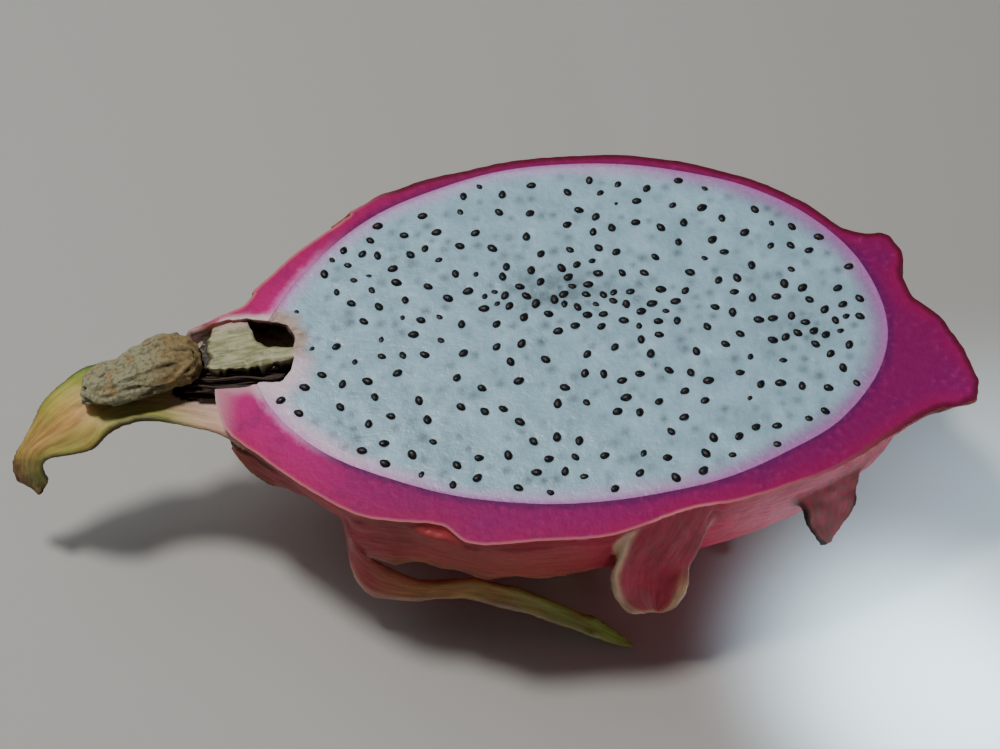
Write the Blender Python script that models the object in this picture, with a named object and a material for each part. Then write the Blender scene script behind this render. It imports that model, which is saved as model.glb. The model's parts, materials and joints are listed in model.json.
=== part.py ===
"""Half of a white dragon fruit, cut lengthwise, lying on its back with the cut face up.

Run it with: blender --background --python part.py

It makes three solids: the rind with the leafy scales that grow from it, the pulp with the seeds that
stand out of its cut face, and the withered flower in the hollow at the blossom end.

Lengths are in millimetres until a mesh is made, which turns them into metres. In the fruit's own frame
+X runs from the blossom end to the stem end, +Y to the far side and +Z up, the cut face is the plane
Z = 0 and the origin is the middle of that face. At the end everything moves so that the origin is the
middle of the foot of the object's box.
"""

import math
import random

import bmesh
import bpy
from mathutils import Matrix, Vector

MM = 0.001

# Driving dimensions
CUT_HEIGHT = 40.0  # the cut face above the surface that the fruit lies on
REST_SINK = 80 / 90  # where the round back stops and its flat resting spot begins
BODY_DEPTH = CUT_HEIGHT / math.sin(REST_SINK * math.pi / 2)
PULP_DEPTH = 35.5
GAP = 0.3  # between two solids that touch
FLOOR_CLEARANCE = 0.5  # scales stay this far above the resting surface

# The cut face's outlines: angle from the stem end towards the far side, and distance from the middle
RIM = (
    (0, 60.0), (15, 59.4), (22, 60.8), (25, 56.6), (28, 53.6), (38, 51.0), (58, 46.0), (80, 42.9), (100, 42.5),
    (120, 44.6), (140, 49.2), (155, 55.0), (168, 61.0), (180, 66.0), (195, 68.0), (204, 62.6), (222, 54.4), (235, 46.8), (242, 47.2),
    (257, 42.4), (276, 40.0), (290, 38.6), (300, 39.6), (320, 46.4), (340, 56.0),
)
PULP_EDGE = (
    (0, 53.6), (18, 53.2), (33, 50.2), (48, 46.4), (64, 42.6), (82, 40.6), (98, 40.4), (115, 42.0),
    (130, 44.4), (145, 48.6), (160, 53.0), (172, 57.0), (184, 61.0), (194, 59.0), (205, 53.8), (220, 45.6),
    (235, 40.0), (250, 36.2), (270, 33.8), (290, 34.0), (308, 36.8), (325, 41.2), (340, 47.4),
)
# Below the cut the rim's unevenness dies away into this plain oval
BACK_HALF_LENGTH = 61.0
BACK_HALF_WIDTH = 42.0

# The hollow at the blossom end that the flower grew from: centre and half sizes of its two lobes
HOLLOW_LOBES = (
    ((-58.4, -2.6, 0.0), (6.2, 7.0, 8.5)),
    ((-66.0, -6.2, 0.0), (9.0, 4.3, 7.5)),
)
HOLLOW_BLUNTNESS = 2.6  # 2 is an ellipse, more is squarer

# The withered flower: centre, half width and half height of its sections, from its root outwards
FLOWER = (
    ((-54.2, -2.0, -2.0), 1.6, 1.7),
    ((-58.0, -2.6, -2.0), 2.0, 1.9),
    ((-63.0, -2.7, -1.9), 2.6, 2.1),
    ((-68.6, -3.2, -1.6), 2.6, 2.2),
    ((-72.0, -3.9, -0.2), 4.8, 2.8),
    ((-75.6, -4.9, 0.5), 5.1, 3.1),
    ((-79.4, -6.8, 0.4), 4.9, 2.8),
    ((-84.0, -8.8, -0.2), 4.2, 2.3),
    ((-88.0, -9.6, -0.9), 4.1, 2.1),
    ((-91.0, -9.6, -1.5), 3.2, 1.6),
)
FLOWER_CUT_LEVEL = -0.5  # the knife left a flat face on the flower inside the hollow
FLOWER_CUT_END = -69.5

# Each scale is a strip between two edges. A station is a point on one edge, the point across from it on
# the other, the thickness in the middle and how far the middle bulges from the straight line between them.
SCALE_MARGIN = 0.9  # thickness along the edges
SCALES = {
    "blossom_long": (
        ((-57.0, 0.0, -13.0), (-54.0, -23.5, -7.0), 6.0, 0.0),
        ((-64.0, 1.0, -9.5), (-60.5, -20.6, -4.6), 4.6, 0.8),
        ((-71.0, -1.5, -6.4), (-67.5, -17.2, -3.8), 3.4, 1.2),
        ((-79.0, -3.2, -3.8), (-77.0, -14.6, -4.4), 2.6, 1.2),
        ((-89.2, -3.8, -2.4), (-84.7, -15.6, -5.2), 2.0, 0.8),
        ((-97.0, -8.0, -4.6), (-90.3, -18.6, -8.4), 1.6, -0.6),
        ((-103.0, -13.2, -12.5), (-98.6, -17.4, -13.4), 1.3, -0.6),
        ((-105.8, -15.8, -18.4), (-99.4, -18.6, -19.4), 1.1, -0.6),
        ((-105.0, -17.0, -23.0), (-102.0, -18.6, -24.4), 1.0, -0.2),
    ),
    "blossom_far_arm": (
        ((-50.0, 14.5, 2.0), (-49.0, 13.5, -15.0), 4.0, 0.0),
        ((-58.0, 9.0, 2.0), (-57.5, 9.5, -14.0), 3.2, 0.8),
        ((-65.0, 4.8, 1.0), (-65.5, 6.0, -12.0), 2.4, 1.0),
        ((-72.5, 1.6, -0.6), (-74.0, 3.0, -6.0), 1.2, 0.4),
    ),
    "blossom_far_wing": (
        ((-40.0, 27.0, 1.5), (-40.0, 25.0, -14.0), 4.0, 0.0),
        ((-49.4, 22.0, 1.5), (-48.4, 21.4, -14.0), 2.8, 0.4),
        ((-56.2, 16.2, 1.0), (-55.4, 16.2, -12.0), 2.2, 0.5),
        ((-61.4, 10.0, -0.4), (-62.4, 10.8, -6.0), 1.2, 0.3),
    ),
    "far_rim_left": (
        ((-20.0, 38.6, 1.5), (-20.0, 36.6, -12.0), 3.4, 0.0),
        ((-33.0, 34.4, 1.5), (-32.0, 35.0, -12.0), 2.6, 0.6),
        ((-42.0, 29.6, 0.6), (-41.0, 31.2, -9.0), 1.8, 0.6),
        ((-48.0, 25.6, -1.2), (-48.0, 27.4, -5.0), 1.0, 0.2),
    ),
    "near_left_under": (
        ((-42.0, -31.0, -5.0), (-42.0, -27.0, -13.0), 3.6, 0.0),
        ((-53.0, -26.6, -4.4), (-53.0, -24.4, -12.0), 2.4, 0.5),
        ((-60.6, -21.4, -5.0), (-60.0, -22.0, -10.6), 1.6, 0.5),
        ((-64.6, -17.6, -6.0), (-64.0, -18.4, -8.4), 1.0, 0.0),
    ),
    "near_fold_over": (
        ((8.0, -37.0, -5.0), (6.0, -33.0, -22.0), 3.0, 0.0),
        ((-7.0, -41.0, -2.6), (-5.0, -37.0, -20.6), 3.2, 1.0),
        ((-20.0, -41.8, -2.0), (-17.0, -38.0, -19.4), 3.0, 1.4),
        ((-30.0, -38.2, -1.6), (-28.0, -38.0, -15.4), 3.0, 1.6),
        ((-38.0, -36.4, -2.4), (-37.0, -36.6, -15.6), 2.6, 1.0),
        ((-43.0, -33.6, -5.0), (-43.0, -34.0, -18.0), 2.2, 0.0),
    ),
    "near_fold_under": (
        ((-45.5, -26.0, -4.0), (-43.0, -23.0, -22.0), 3.4, 0.0),
        ((-43.6, -32.6, -5.0), (-43.2, -33.2, -24.0), 2.5, -0.8),
        ((-40.4, -35.8, -15.0), (-39.8, -36.6, -29.4), 2.0, -0.8),
        ((-31.6, -34.6, -27.0), (-31.2, -36.6, -31.4), 1.8, -0.5),
        ((-22.6, -33.6, -28.6), (-22.4, -36.0, -32.2), 1.6, -0.4),
        ((-13.0, -34.2, -31.2), (-12.6, -37.4, -34.6), 1.5, -0.5),
        ((-4.2, -36.3, -34.4), (-4.0, -39.6, -36.6), 1.4, -0.4),
        ((3.2, -38.6, -36.8), (3.0, -41.6, -38.2), 1.2, -0.2),
        ((8.4, -42.0, -38.4), (8.2, -43.0, -38.7), 0.9, 0.0),
    ),
    "near_spoon": (
        ((8.0, -33.5, 1.5), (23.0, -30.0, 1.0), 5.0, 0.0),
        ((5.2, -38.8, -2.0), (20.0, -35.4, -5.6), 3.0, 0.6),
        ((3.6, -41.2, -8.2), (17.8, -38.2, -12.6), 2.2, 1.8),
        ((3.3, -42.1, -15.8), (16.8, -40.6, -18.2), 1.9, 3.0),
        ((5.0, -42.6, -21.6), (15.4, -41.8, -22.6), 1.6, 2.4),
        ((9.4, -42.2, -25.2), (12.6, -41.9, -25.4), 1.1, 0.2),
    ),
    "near_right_point": (
        ((32.0, -27.0, -1.0), (48.0, -20.5, -1.0), 4.4, 0.0),
        ((36.6, -30.4, -7.0), (47.0, -25.6, -8.0), 3.0, 1.0),
        ((38.4, -32.2, -12.0), (46.4, -28.0, -13.0), 2.0, 0.8),
        ((41.4, -32.4, -17.6), (42.6, -31.8, -18.0), 1.0, 0.0),
    ),
    "stem_far_point": (
        ((43.0, 24.0, -12.0), (54.0, 9.0, -12.0), 5.0, 0.0),
        ((48.6, 24.0, -6.0), (57.6, 11.0, -6.0), 3.6, 0.6),
        ((52.8, 24.2, -1.4), (58.2, 15.0, -1.6), 2.2, 0.4),
        ((56.4, 23.9, 1.4), (58.2, 20.4, 1.4), 1.0, 0.0),
    ),
    "stem_broad_tip": (
        ((48.0, 18.0, -0.5), (45.0, -25.0, -0.5), 20.0, 0.0),
        ((61.4, 7.2, -0.5), (58.6, -16.4, -0.5), 13.0, 0.0),
        ((66.4, -0.4, -0.5), (64.8, -14.4, -0.5), 7.6, 0.0),
        ((69.2, -8.4, -0.5), (68.4, -13.0, -0.5), 3.0, 0.0),
    ),
}
# Scales on the back, which all grow one way: (angle round the rim, how far down from it, the way that
# the scale grows as an angle seen from above, length, width, how far its tip lifts off)
BACK_SCALES = {
    "back_far_middle": (96, 0.26, 164, 36.0, 26.0, 4.5),
    "back_far_right": (50, 0.32, 150, 34.0, 25.0, 5.0),
    "back_stem_far": (20, 0.50, 62, 24.0, 19.0, 5.0),
    "back_far_left": (136, 0.44, 178, 40.0, 23.0, 6.0),
    "back_under_far": (96, 0.66, 190, 30.0, 20.0, 1.6),
    "back_under_blossom": (190, 0.42, 176, 36.0, 21.0, 7.0),
    "back_stem_under": (330, 0.58, 350, 22.0, 18.0, 5.0),
    "back_under_near": (300, 0.64, 200, 24.0, 18.0, 1.0),
}
BACK_SCALE_ROOT_SINK = 2.6  # how deep the root is sunk into the rind

# Seeds on the cut face
SEED_DRAW = 7
SEED_COUNT = 330
SEEDS_STANDING_OUT = 210
SEED_LENGTH, SEED_WIDTH = 2.0, 1.35
SEED_SPACING = 1.9
SEED_MARGIN = 2.2  # bare pulp along the rind
SEED_SIDES = 5
# where they crowd: centre, reach along and across, strength above the even spread
SEED_CROWDS = (
    ((-6.5, 11.0), (11.0, 4.6), 5.0),
    ((36.5, 3.5), (7.0, 6.0), 2.2),
    ((-38.0, 14.0), (9.0, 9.0), 1.0),
    ((46.5, 5.0), (4.0, 10.0), 1.0),
    ((9.0, 3.0), (14.0, 10.0), 0.8),
)

# Fineness of the solids
ROUND_STEPS = 60
DEPTH_STEPS = 9
SCALE_LENGTH_STEPS = 9
SCALE_ACROSS_STEPS = 5
FLOWER_LENGTH_STEPS = 14
FLOWER_ROUND_STEPS = 12


# Outlines and surfaces


def closed_curve(points, angle):
    """The distance at this angle on a smooth closed line through (angle, distance) points."""
    count = len(points)
    angle %= 360
    after = next((i for i, p in enumerate(points) if p[0] > angle), count)
    knots = [points[(after + k) % count] for k in (-2, -1, 0, 1)]
    turns = [360 * ((after + k) // count) for k in (-2, -1, 0, 1)]
    a, b, c, d = (knot[0] + turn for knot, turn in zip(knots, turns))
    pa, pb, pc, pd = (knot[1] for knot in knots)
    t = (angle - b) / (c - b)
    slope_b = (pc - pa) / (c - a) * (c - b)
    slope_c = (pd - pb) / (d - b) * (c - b)
    return (
        pb * (2 * t**3 - 3 * t**2 + 1)
        + slope_b * (t**3 - 2 * t**2 + t)
        + pc * (3 * t**2 - 2 * t**3)
        + slope_c * (t**3 - t**2)
    )


def oval(half_length, half_width, angle):
    a = math.radians(angle)
    return 1 / math.hypot(math.cos(a) / half_length, math.sin(a) / half_width)


def rind_point(angle, sink):
    """A point on the outside of the rind: sink is 0 at the cut face and 1 under the middle."""
    plain = oval(BACK_HALF_LENGTH, BACK_HALF_WIDTH, angle)
    uneven = closed_curve(RIM, angle) - plain
    reach = (plain + uneven * max(0.0, 1 - sink) ** 2) * math.cos(sink * math.pi / 2)
    a = math.radians(angle)
    return Vector((reach * math.cos(a), reach * math.sin(a), -BODY_DEPTH * math.sin(sink * math.pi / 2)))


def pulp_point(angle, sink, grown=0.0):
    """A point on the outside of the pulp, moved out by grown."""
    reach = (closed_curve(PULP_EDGE, angle) + grown) * math.cos(sink * math.pi / 2)
    a = math.radians(angle)
    depth = (PULP_DEPTH + grown) * math.sin(sink * math.pi / 2)
    return Vector((reach * math.cos(a), reach * math.sin(a), -depth))


def rind_normal(angle, sink):
    step = 0.01
    around = rind_point(angle + 1, sink) - rind_point(angle - 1, sink)
    down = rind_point(angle, sink + step) - rind_point(angle, sink - step)
    return down.cross(around).normalized()


def spline(rows, t):
    """Rows of equal numbers, read at t from 0 to 1 on a smooth line through them."""
    span = t * (len(rows) - 1)
    i = min(int(span), len(rows) - 2)
    t = span - i
    before, here, after, beyond = (rows[min(max(i + k, 0), len(rows) - 1)] for k in (-1, 0, 1, 2))
    return [
        0.5 * (2 * b + (c - a) * t + (2 * a - 5 * b + 4 * c - d) * t**2 + (3 * b - a - 3 * c + d) * t**3)
        for a, b, c, d in zip(before, here, after, beyond)
    ]


# Meshes


def mesh_object(name, points, faces, material=None):
    """An object of these points, in millimetres, with its faces turned outwards."""
    mesh = bpy.data.meshes.new(name)
    mesh.from_pydata([Vector(p) * MM for p in points], [], faces)
    work = bmesh.new()
    work.from_mesh(mesh)
    bmesh.ops.recalc_face_normals(work, faces=work.faces)
    work.to_mesh(mesh)
    work.free()
    found = bpy.data.objects.new(name, mesh)
    bpy.context.scene.collection.objects.link(found)
    if material:
        mesh.materials.append(material)
    return found


def tube_faces(rings, around, capped=True):
    """Faces between rings of points in order, each split the same way, and over the two ends."""
    faces = []
    for r in range(rings - 1):
        for i in range(around):
            a, b = r * around + i, r * around + (i + 1) % around
            faces += [(a, b, b + around), (a, b + around, a + around)]
    if capped:
        faces += [tuple(range(around)), tuple((rings - 1) * around + i for i in range(around))]
    return faces


def bowl(name, point_at, last_sink, material=None, top=0.0):
    """A closed half body below a flat top, with a flat spot where its rings stop."""
    sinks = [last_sink * k / DEPTH_STEPS for k in range(DEPTH_STEPS + 1)]
    points = [point_at(360 * i / ROUND_STEPS, sink) for sink in sinks for i in range(ROUND_STEPS)]
    rings = len(sinks)
    if top:
        points = [p + Vector((0, 0, top)) for p in points[:ROUND_STEPS]] + points
        rings += 1
    return mesh_object(name, points, tube_faces(rings, ROUND_STEPS), material)


def strip_sections(stations, length_steps, across_steps):
    """Rings of points round a scale, from its root to its tip."""
    rows = [[*a, *b, thickness, bulge] for a, b, thickness, bulge in stations]
    rings = []
    for k in range(length_steps + 1):
        t = k / length_steps
        row = spline(rows, t)
        ahead, behind = spline(rows, min(t + 0.01, 1)), spline(rows, max(t - 0.01, 0))
        a, b, thickness, bulge = Vector(row[:3]), Vector(row[3:6]), row[6], row[7]
        forward = Vector(ahead[:3]) + Vector(ahead[3:6]) - Vector(behind[:3]) - Vector(behind[3:6])
        normal = (b - a).cross(forward).normalized()
        inner, outer = [], []
        for i in range(across_steps + 1):
            u = 2 * i / across_steps - 1
            middle = a.lerp(b, (u + 1) / 2) + normal * bulge * (1 - u * u)
            half = (SCALE_MARGIN + max(thickness - SCALE_MARGIN, 0) * (1 - u * u)) / 2
            inner.append(middle + normal * half)
            outer.append(middle - normal * half)
        rings.append(inner + outer[::-1])
    return rings


def scale_object(name, stations):
    rings = strip_sections(stations, SCALE_LENGTH_STEPS, SCALE_ACROSS_STEPS)
    around = len(rings[0])
    floor = FLOOR_CLEARANCE - CUT_HEIGHT
    points = [Vector((p.x, p.y, max(p.z, floor))) for ring in rings for p in ring]
    faces = tube_faces(len(rings), around, capped=False)
    last = (len(rings) - 1) * around
    for first in (0, last):
        for i in range(SCALE_ACROSS_STEPS):
            a, b, c, d = i, i + 1, around - 2 - i, around - 1 - i
            faces += [tuple(first + n for n in (a, b, c)), tuple(first + n for n in (a, c, d))]
    return mesh_object(name, points, faces)


def back_stations(angle, sink, heading, length, width, lift):
    """Stations of a scale that grows from the back and follows it, its tip lifting off."""
    heading = Vector((math.cos(math.radians(heading)), math.sin(math.radians(heading)), 0))
    stations = []
    place = rind_point(angle, sink)
    steps = 5
    for k in range(steps):
        t = k / (steps - 1)
        a = math.degrees(math.atan2(place.y, place.x))
        s = min(sink_of(place, a), REST_SINK)
        normal = rind_normal(a, s)
        along = (heading - normal * heading.dot(normal)).normalized()
        side = along.cross(normal)
        centre = rind_point(a, s) + normal * (lift * t * t - BACK_SCALE_ROOT_SINK * (1 - t) ** 2)
        half = width / 2 * (1 - t**2.2) ** 0.8 + 0.5
        thickness = 4.5 * (1 - t) ** 1.5 + 1.0
        stations.append((centre - side * half, centre + side * half, thickness, -half * half / 90))
        place = rind_point(a, s) + along * length / (steps - 1)
    return tuple((tuple(a), tuple(b), thickness, bulge) for a, b, thickness, bulge in stations)


def sink_of(place, angle):
    """How far down the back a place is, by the slope of the line to it from the middle."""
    plain = oval(BACK_HALF_LENGTH, BACK_HALF_WIDTH, angle)
    across = math.hypot(place.x, place.y) / plain
    return math.atan2(max(-place.z, 0.0) / BODY_DEPTH, across) / (math.pi / 2)


def flower_object(name, grown=0.0, material=None):
    rows = [[*centre, half_width, half_height] for centre, half_width, half_height in FLOWER]
    points = []
    for k in range(FLOWER_LENGTH_STEPS + 1):
        t = k / FLOWER_LENGTH_STEPS
        x, y, z, half_width, half_height = spline(rows, t)
        ahead, behind = spline(rows, min(t + 0.01, 1)), spline(rows, max(t - 0.01, 0))
        forward = Vector((ahead[0] - behind[0], ahead[1] - behind[1], 0)).normalized()
        side = Vector((-forward.y, forward.x, 0))
        end = 0.0 if 0 < k < FLOWER_LENGTH_STEPS else grown * (-1 if k == 0 else 1)
        for i in range(FLOWER_ROUND_STEPS):
            turn = 2 * math.pi * i / FLOWER_ROUND_STEPS
            crumple = 1 + 0.08 * math.sin(3 * turn + 1.3 * k) if x < FLOWER_CUT_END else 1
            across = side * math.cos(turn) * (half_width * crumple + grown)
            up = math.sin(turn) * (half_height * crumple + grown)
            points.append(Vector((x, y, z + up)) + across + forward * end)
    return mesh_object(name, points, tube_faces(FLOWER_LENGTH_STEPS + 1, FLOWER_ROUND_STEPS), material)


def hollow_objects():
    """Blunt egg-shaped cutters for the hollow at the blossom end."""
    around, rings, power = 24, 8, 2 / HOLLOW_BLUNTNESS
    found = []
    for centre, half_sizes in HOLLOW_LOBES:
        points = []
        for r in range(rings):
            rise = math.pi * ((r + 0.5) / rings - 0.5)
            for i in range(around):
                turn = 2 * math.pi * (i + 0.5) / around
                sides = (math.cos(turn), math.sin(turn))
                blunt = [math.copysign(abs(side) ** power, side) * math.cos(rise) for side in sides]
                shares = (*blunt, math.sin(rise))
                points.append([c + h * share for c, h, share in zip(centre, half_sizes, shares)])
        found.append(mesh_object("hollow", points, tube_faces(rings, around)))
    return found


def in_hollow(x, y, margin):
    """Whether a point of the cut face is in the hollow or this near to it."""
    for centre, half_sizes in HOLLOW_LOBES:
        shares = [abs(p - c) / (h + margin) for p, c, h in zip((x, y), centre, half_sizes)]
        if sum(share**HOLLOW_BLUNTNESS for share in shares) < 1:
            return True
    return False


# Seeds


def seed_places():
    """(x, y, turn) of every seed that shows on the cut face, by a seeded draw that crowds them."""
    draw = random.Random(SEED_DRAW)
    found = []
    while len(found) < SEED_COUNT:
        x, y = draw.uniform(-60, 56), draw.uniform(-36, 42)
        chance, turn = draw.random() * 4.0, draw.uniform(0, math.pi)
        angle = math.degrees(math.atan2(y, x))
        if math.hypot(x, y) > closed_curve(PULP_EDGE, angle) - SEED_MARGIN:
            continue
        if in_hollow(x, y, SEED_MARGIN):
            continue
        crowd = 1 + sum(
            strength * math.exp(-(((x - cx) / rx) ** 2) - ((y - cy) / ry) ** 2)
            for (cx, cy), (rx, ry), strength in SEED_CROWDS
        )
        spacing = max(SEED_SPACING, 3.4 / math.sqrt(crowd))
        if chance > crowd or any(math.hypot(x - a, y - b) < spacing for a, b, _ in found):
            continue
        found.append((x, y, turn))
    return found


def seed_object(name, x, y, turn):
    """A seed as a faceted pebble, half sunk in the pulp."""
    points = []
    for size, z in ((0.9, -0.7), (1.0, -0.2), (0.62, 0.42)):
        for i in range(SEED_SIDES):
            a = 2 * math.pi * i / SEED_SIDES
            along, across = SEED_LENGTH / 2 * size * math.cos(a), SEED_WIDTH / 2 * size * math.sin(a)
            points.append(
                (
                    x + along * math.cos(turn) - across * math.sin(turn),
                    y + along * math.sin(turn) + across * math.cos(turn),
                    z,
                )
            )
    return mesh_object(name, points, tube_faces(3, SEED_SIDES))


# Joining and cutting


def with_tool(target, operation, tools):
    """Joins tools to target, or cuts target by them, and removes them."""
    group = bpy.data.collections.new("tools")
    bpy.context.scene.collection.children.link(group)
    for tool in tools:
        group.objects.link(tool)
    modifier = target.modifiers.new(operation, "BOOLEAN")
    modifier.operation = operation
    modifier.operand_type = "COLLECTION"
    modifier.collection = group
    modifier.solver = "EXACT"
    bpy.context.view_layer.update()
    evaluated = target.evaluated_get(bpy.context.evaluated_depsgraph_get())
    joined = bpy.data.meshes.new_from_object(evaluated)
    target.modifiers.clear()
    target.data = joined
    for tool in tools:
        bpy.data.objects.remove(tool)
    bpy.data.collections.remove(group)


def box_object(name, low, high):
    corners = [(x, y, z) for z in (low[2], high[2]) for x, y in
               ((low[0], low[1]), (high[0], low[1]), (high[0], high[1]), (low[0], high[1]))]
    return mesh_object(name, corners, tube_faces(2, 4))


def finish_material(name, colour, roughness):
    material = bpy.data.materials.new(name)
    material.use_nodes = True
    shader = material.node_tree.nodes["Principled BSDF"]
    shader.inputs["Base Color"].default_value = (*colour, 1)
    shader.inputs["Roughness"].default_value = roughness
    shader.inputs["Metallic"].default_value = 0.0
    return material


# The three solids


def make_rind():
    material = finish_material("rind", (0.47, 0.02, 0.16), 0.45)
    rind = bowl("rind", rind_point, REST_SINK, material)
    scales = [scale_object(name, stations) for name, stations in SCALES.items()]
    scales += [scale_object(name, back_stations(*rule)) for name, rule in BACK_SCALES.items()]
    with_tool(rind, "UNION", scales)
    knife = box_object("knife", (-120, -60, 0.0), (90, 60, 30))
    pulp_space = bowl("pulp_space", lambda a, s: pulp_point(a, s, GAP), REST_SINK, top=1.0)
    with_tool(rind, "DIFFERENCE", [knife])
    with_tool(rind, "DIFFERENCE", [pulp_space])
    with_tool(rind, "DIFFERENCE", hollow_objects())
    with_tool(rind, "DIFFERENCE", [flower_object("flower_space", grown=GAP + 0.1)])
    return rind


def make_pulp():
    material = finish_material("pulp", (0.74, 0.78, 0.77), 0.3)
    pulp = bowl("pulp", pulp_point, REST_SINK, material)
    standing = seed_places()[:SEEDS_STANDING_OUT]
    seeds = [seed_object(f"seed_{i}", *place) for i, place in enumerate(standing)]
    with_tool(pulp, "UNION", seeds)
    with_tool(pulp, "DIFFERENCE", hollow_objects())
    with_tool(pulp, "DIFFERENCE", [flower_object("flower_space", grown=GAP + 0.1)])
    return pulp


def make_flower():
    material = finish_material("withered_flower", (0.27, 0.22, 0.13), 0.85)
    flower = flower_object("withered_flower", material=material)
    knife = box_object("knife", (FLOWER_CUT_END, -20, FLOWER_CUT_LEVEL), (-40, 20, 30))
    with_tool(flower, "DIFFERENCE", [knife])
    return flower


def stand_on_origin(objects):
    """Moves the meshes so that the origin is the middle of the foot of their box."""
    corners = [v.co for o in objects for v in o.data.vertices]
    low = Vector([min(c[i] for c in corners) for i in range(3)])
    high = Vector([max(c[i] for c in corners) for i in range(3)])
    foot = Vector(((low.x + high.x) / 2, (low.y + high.y) / 2, low.z))
    for o in objects:
        o.data.transform(Matrix.Translation(-foot))


def main():
    for old in list(bpy.data.objects):
        bpy.data.objects.remove(old)
    parts = [make_rind(), make_pulp(), make_flower()]
    stand_on_origin(parts)


main()
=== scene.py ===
"""Dresses the half dragon fruit: rind with its scales, pulp, seeds, withered flower, and the stage.

The pieces are modelled in millimetres about the middle of the cut face, with +X towards the stem end,
+Y to the far side and +Z up. place_piece() then turns them to metres and puts them on the frame.
"""

import json
import math
import random

import bmesh
import bpy
from bpy.props import FloatProperty, FloatVectorProperty, IntProperty, PointerProperty
from bpy.types import Operator, Panel, PropertyGroup
from mathutils import Matrix, Vector, bvhtree, interpolate, kdtree, noise


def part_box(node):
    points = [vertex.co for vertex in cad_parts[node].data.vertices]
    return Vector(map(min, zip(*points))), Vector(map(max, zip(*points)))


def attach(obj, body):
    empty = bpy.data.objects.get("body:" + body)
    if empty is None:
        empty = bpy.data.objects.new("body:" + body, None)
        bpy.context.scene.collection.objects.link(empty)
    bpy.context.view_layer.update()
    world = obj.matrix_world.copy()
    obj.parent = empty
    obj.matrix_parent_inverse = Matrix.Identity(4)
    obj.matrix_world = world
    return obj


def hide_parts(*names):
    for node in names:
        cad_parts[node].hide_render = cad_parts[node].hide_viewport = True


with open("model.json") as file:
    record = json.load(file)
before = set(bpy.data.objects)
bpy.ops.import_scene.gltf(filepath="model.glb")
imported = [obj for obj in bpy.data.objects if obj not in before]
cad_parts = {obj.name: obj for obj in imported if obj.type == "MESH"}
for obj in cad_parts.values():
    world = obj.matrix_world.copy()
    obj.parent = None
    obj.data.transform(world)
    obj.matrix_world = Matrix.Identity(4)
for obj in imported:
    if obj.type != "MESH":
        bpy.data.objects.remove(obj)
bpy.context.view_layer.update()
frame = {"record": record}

bl_info = {
    "name": "Half dragon fruit",
    "version": (1, 0, 0),
    "blender": (4, 5, 0),
    "location": "View3D > Sidebar > Fruit",
    "description": "Builds a halved white dragon fruit on its frame",
    "category": "Add Mesh",
}

MM = 0.001

# Where the middle of the cut face is: above the resting spot, at the height of the rind's top
REST_SPOT = frame["record"]["mounts"][0]["pos_m"]
MIDDLE = Vector((REST_SPOT[0], REST_SPOT[1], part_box("rind")[1].z))
CUT_HEIGHT = MIDDLE.z / MM
FLOOR_CLEARANCE = 0.5

# Rind and pulp
REST_SINK = 80 / 90
BODY_DEPTH = CUT_HEIGHT / math.sin(REST_SINK * math.pi / 2)
PULP_DEPTH = 35.5
RIM = (
    (0, 60.0), (15, 59.4), (22, 60.8), (25, 56.6), (28, 53.6), (38, 51.0), (58, 46.0), (80, 42.9), (100, 42.5),
    (120, 44.6), (140, 49.2), (155, 55.0), (168, 61.0), (180, 66.0), (195, 68.0), (204, 62.6), (222, 54.4), (235, 46.8), (242, 47.2),
    (257, 42.4), (276, 40.0), (290, 38.6), (300, 39.6), (320, 46.4), (340, 56.0),
)
PULP_EDGE = (
    (0, 53.6), (18, 53.2), (33, 50.2), (48, 46.4), (64, 42.6), (82, 40.6), (98, 40.4), (115, 42.0),
    (130, 44.4), (145, 48.6), (160, 53.0), (172, 57.0), (184, 61.0), (194, 59.0), (205, 53.8), (220, 45.6),
    (235, 40.0), (250, 36.2), (270, 33.8), (290, 34.0), (308, 36.8), (325, 41.2), (340, 47.4),
)
BACK_HALF_LENGTH = 61.0
BACK_HALF_WIDTH = 42.0

# The hollow at the blossom end: centre and half sizes of its lobes
HOLLOW_LOBES = (
    ((-60.3, -2.6, 0.0), (6.9, 7.0, 8.5)),
    ((-66.0, -6.2, 0.0), (9.0, 4.3, 7.5)),
    ((-64.6, -0.2, 0.0), (3.6, 4.6, 6.5)),
)
HOLLOW_BLUNTNESS = 2.6

# The withered flower: centre, half width and half height of its sections, from its root outwards
FLOWER = (
    ((-54.2, -2.0, -2.0), 1.6, 1.7),
    ((-58.0, -2.6, -2.0), 2.0, 1.9),
    ((-63.0, -2.7, -1.9), 2.6, 2.1),
    ((-68.6, -3.2, -1.6), 2.6, 2.2),
    ((-72.0, -3.9, -0.2), 4.8, 2.8),
    ((-75.6, -4.9, 0.5), 5.1, 3.1),
    ((-79.4, -6.8, 0.4), 4.9, 2.8),
    ((-84.0, -8.8, -0.2), 4.2, 2.3),
    ((-88.0, -9.6, -0.9), 4.1, 2.1),
    ((-91.0, -9.6, -1.5), 3.2, 1.6),
)
# The core, cut flat, from the pulp outwards: how far along it is, and its near and far edges
CORE_LEVEL = -0.5
CORE_EDGES = (
    (-52.6, -3.2, -0.9),
    (-56.0, -4.3, -0.9),
    (-59.0, -4.9, -0.5),
    (-60.8, -5.2, 1.0),
    (-62.4, -5.4, 4.6),
    (-65.4, -5.7, 5.0),
    (-67.6, -5.6, 3.7),
    (-70.6, -5.2, 1.9),
)

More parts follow.
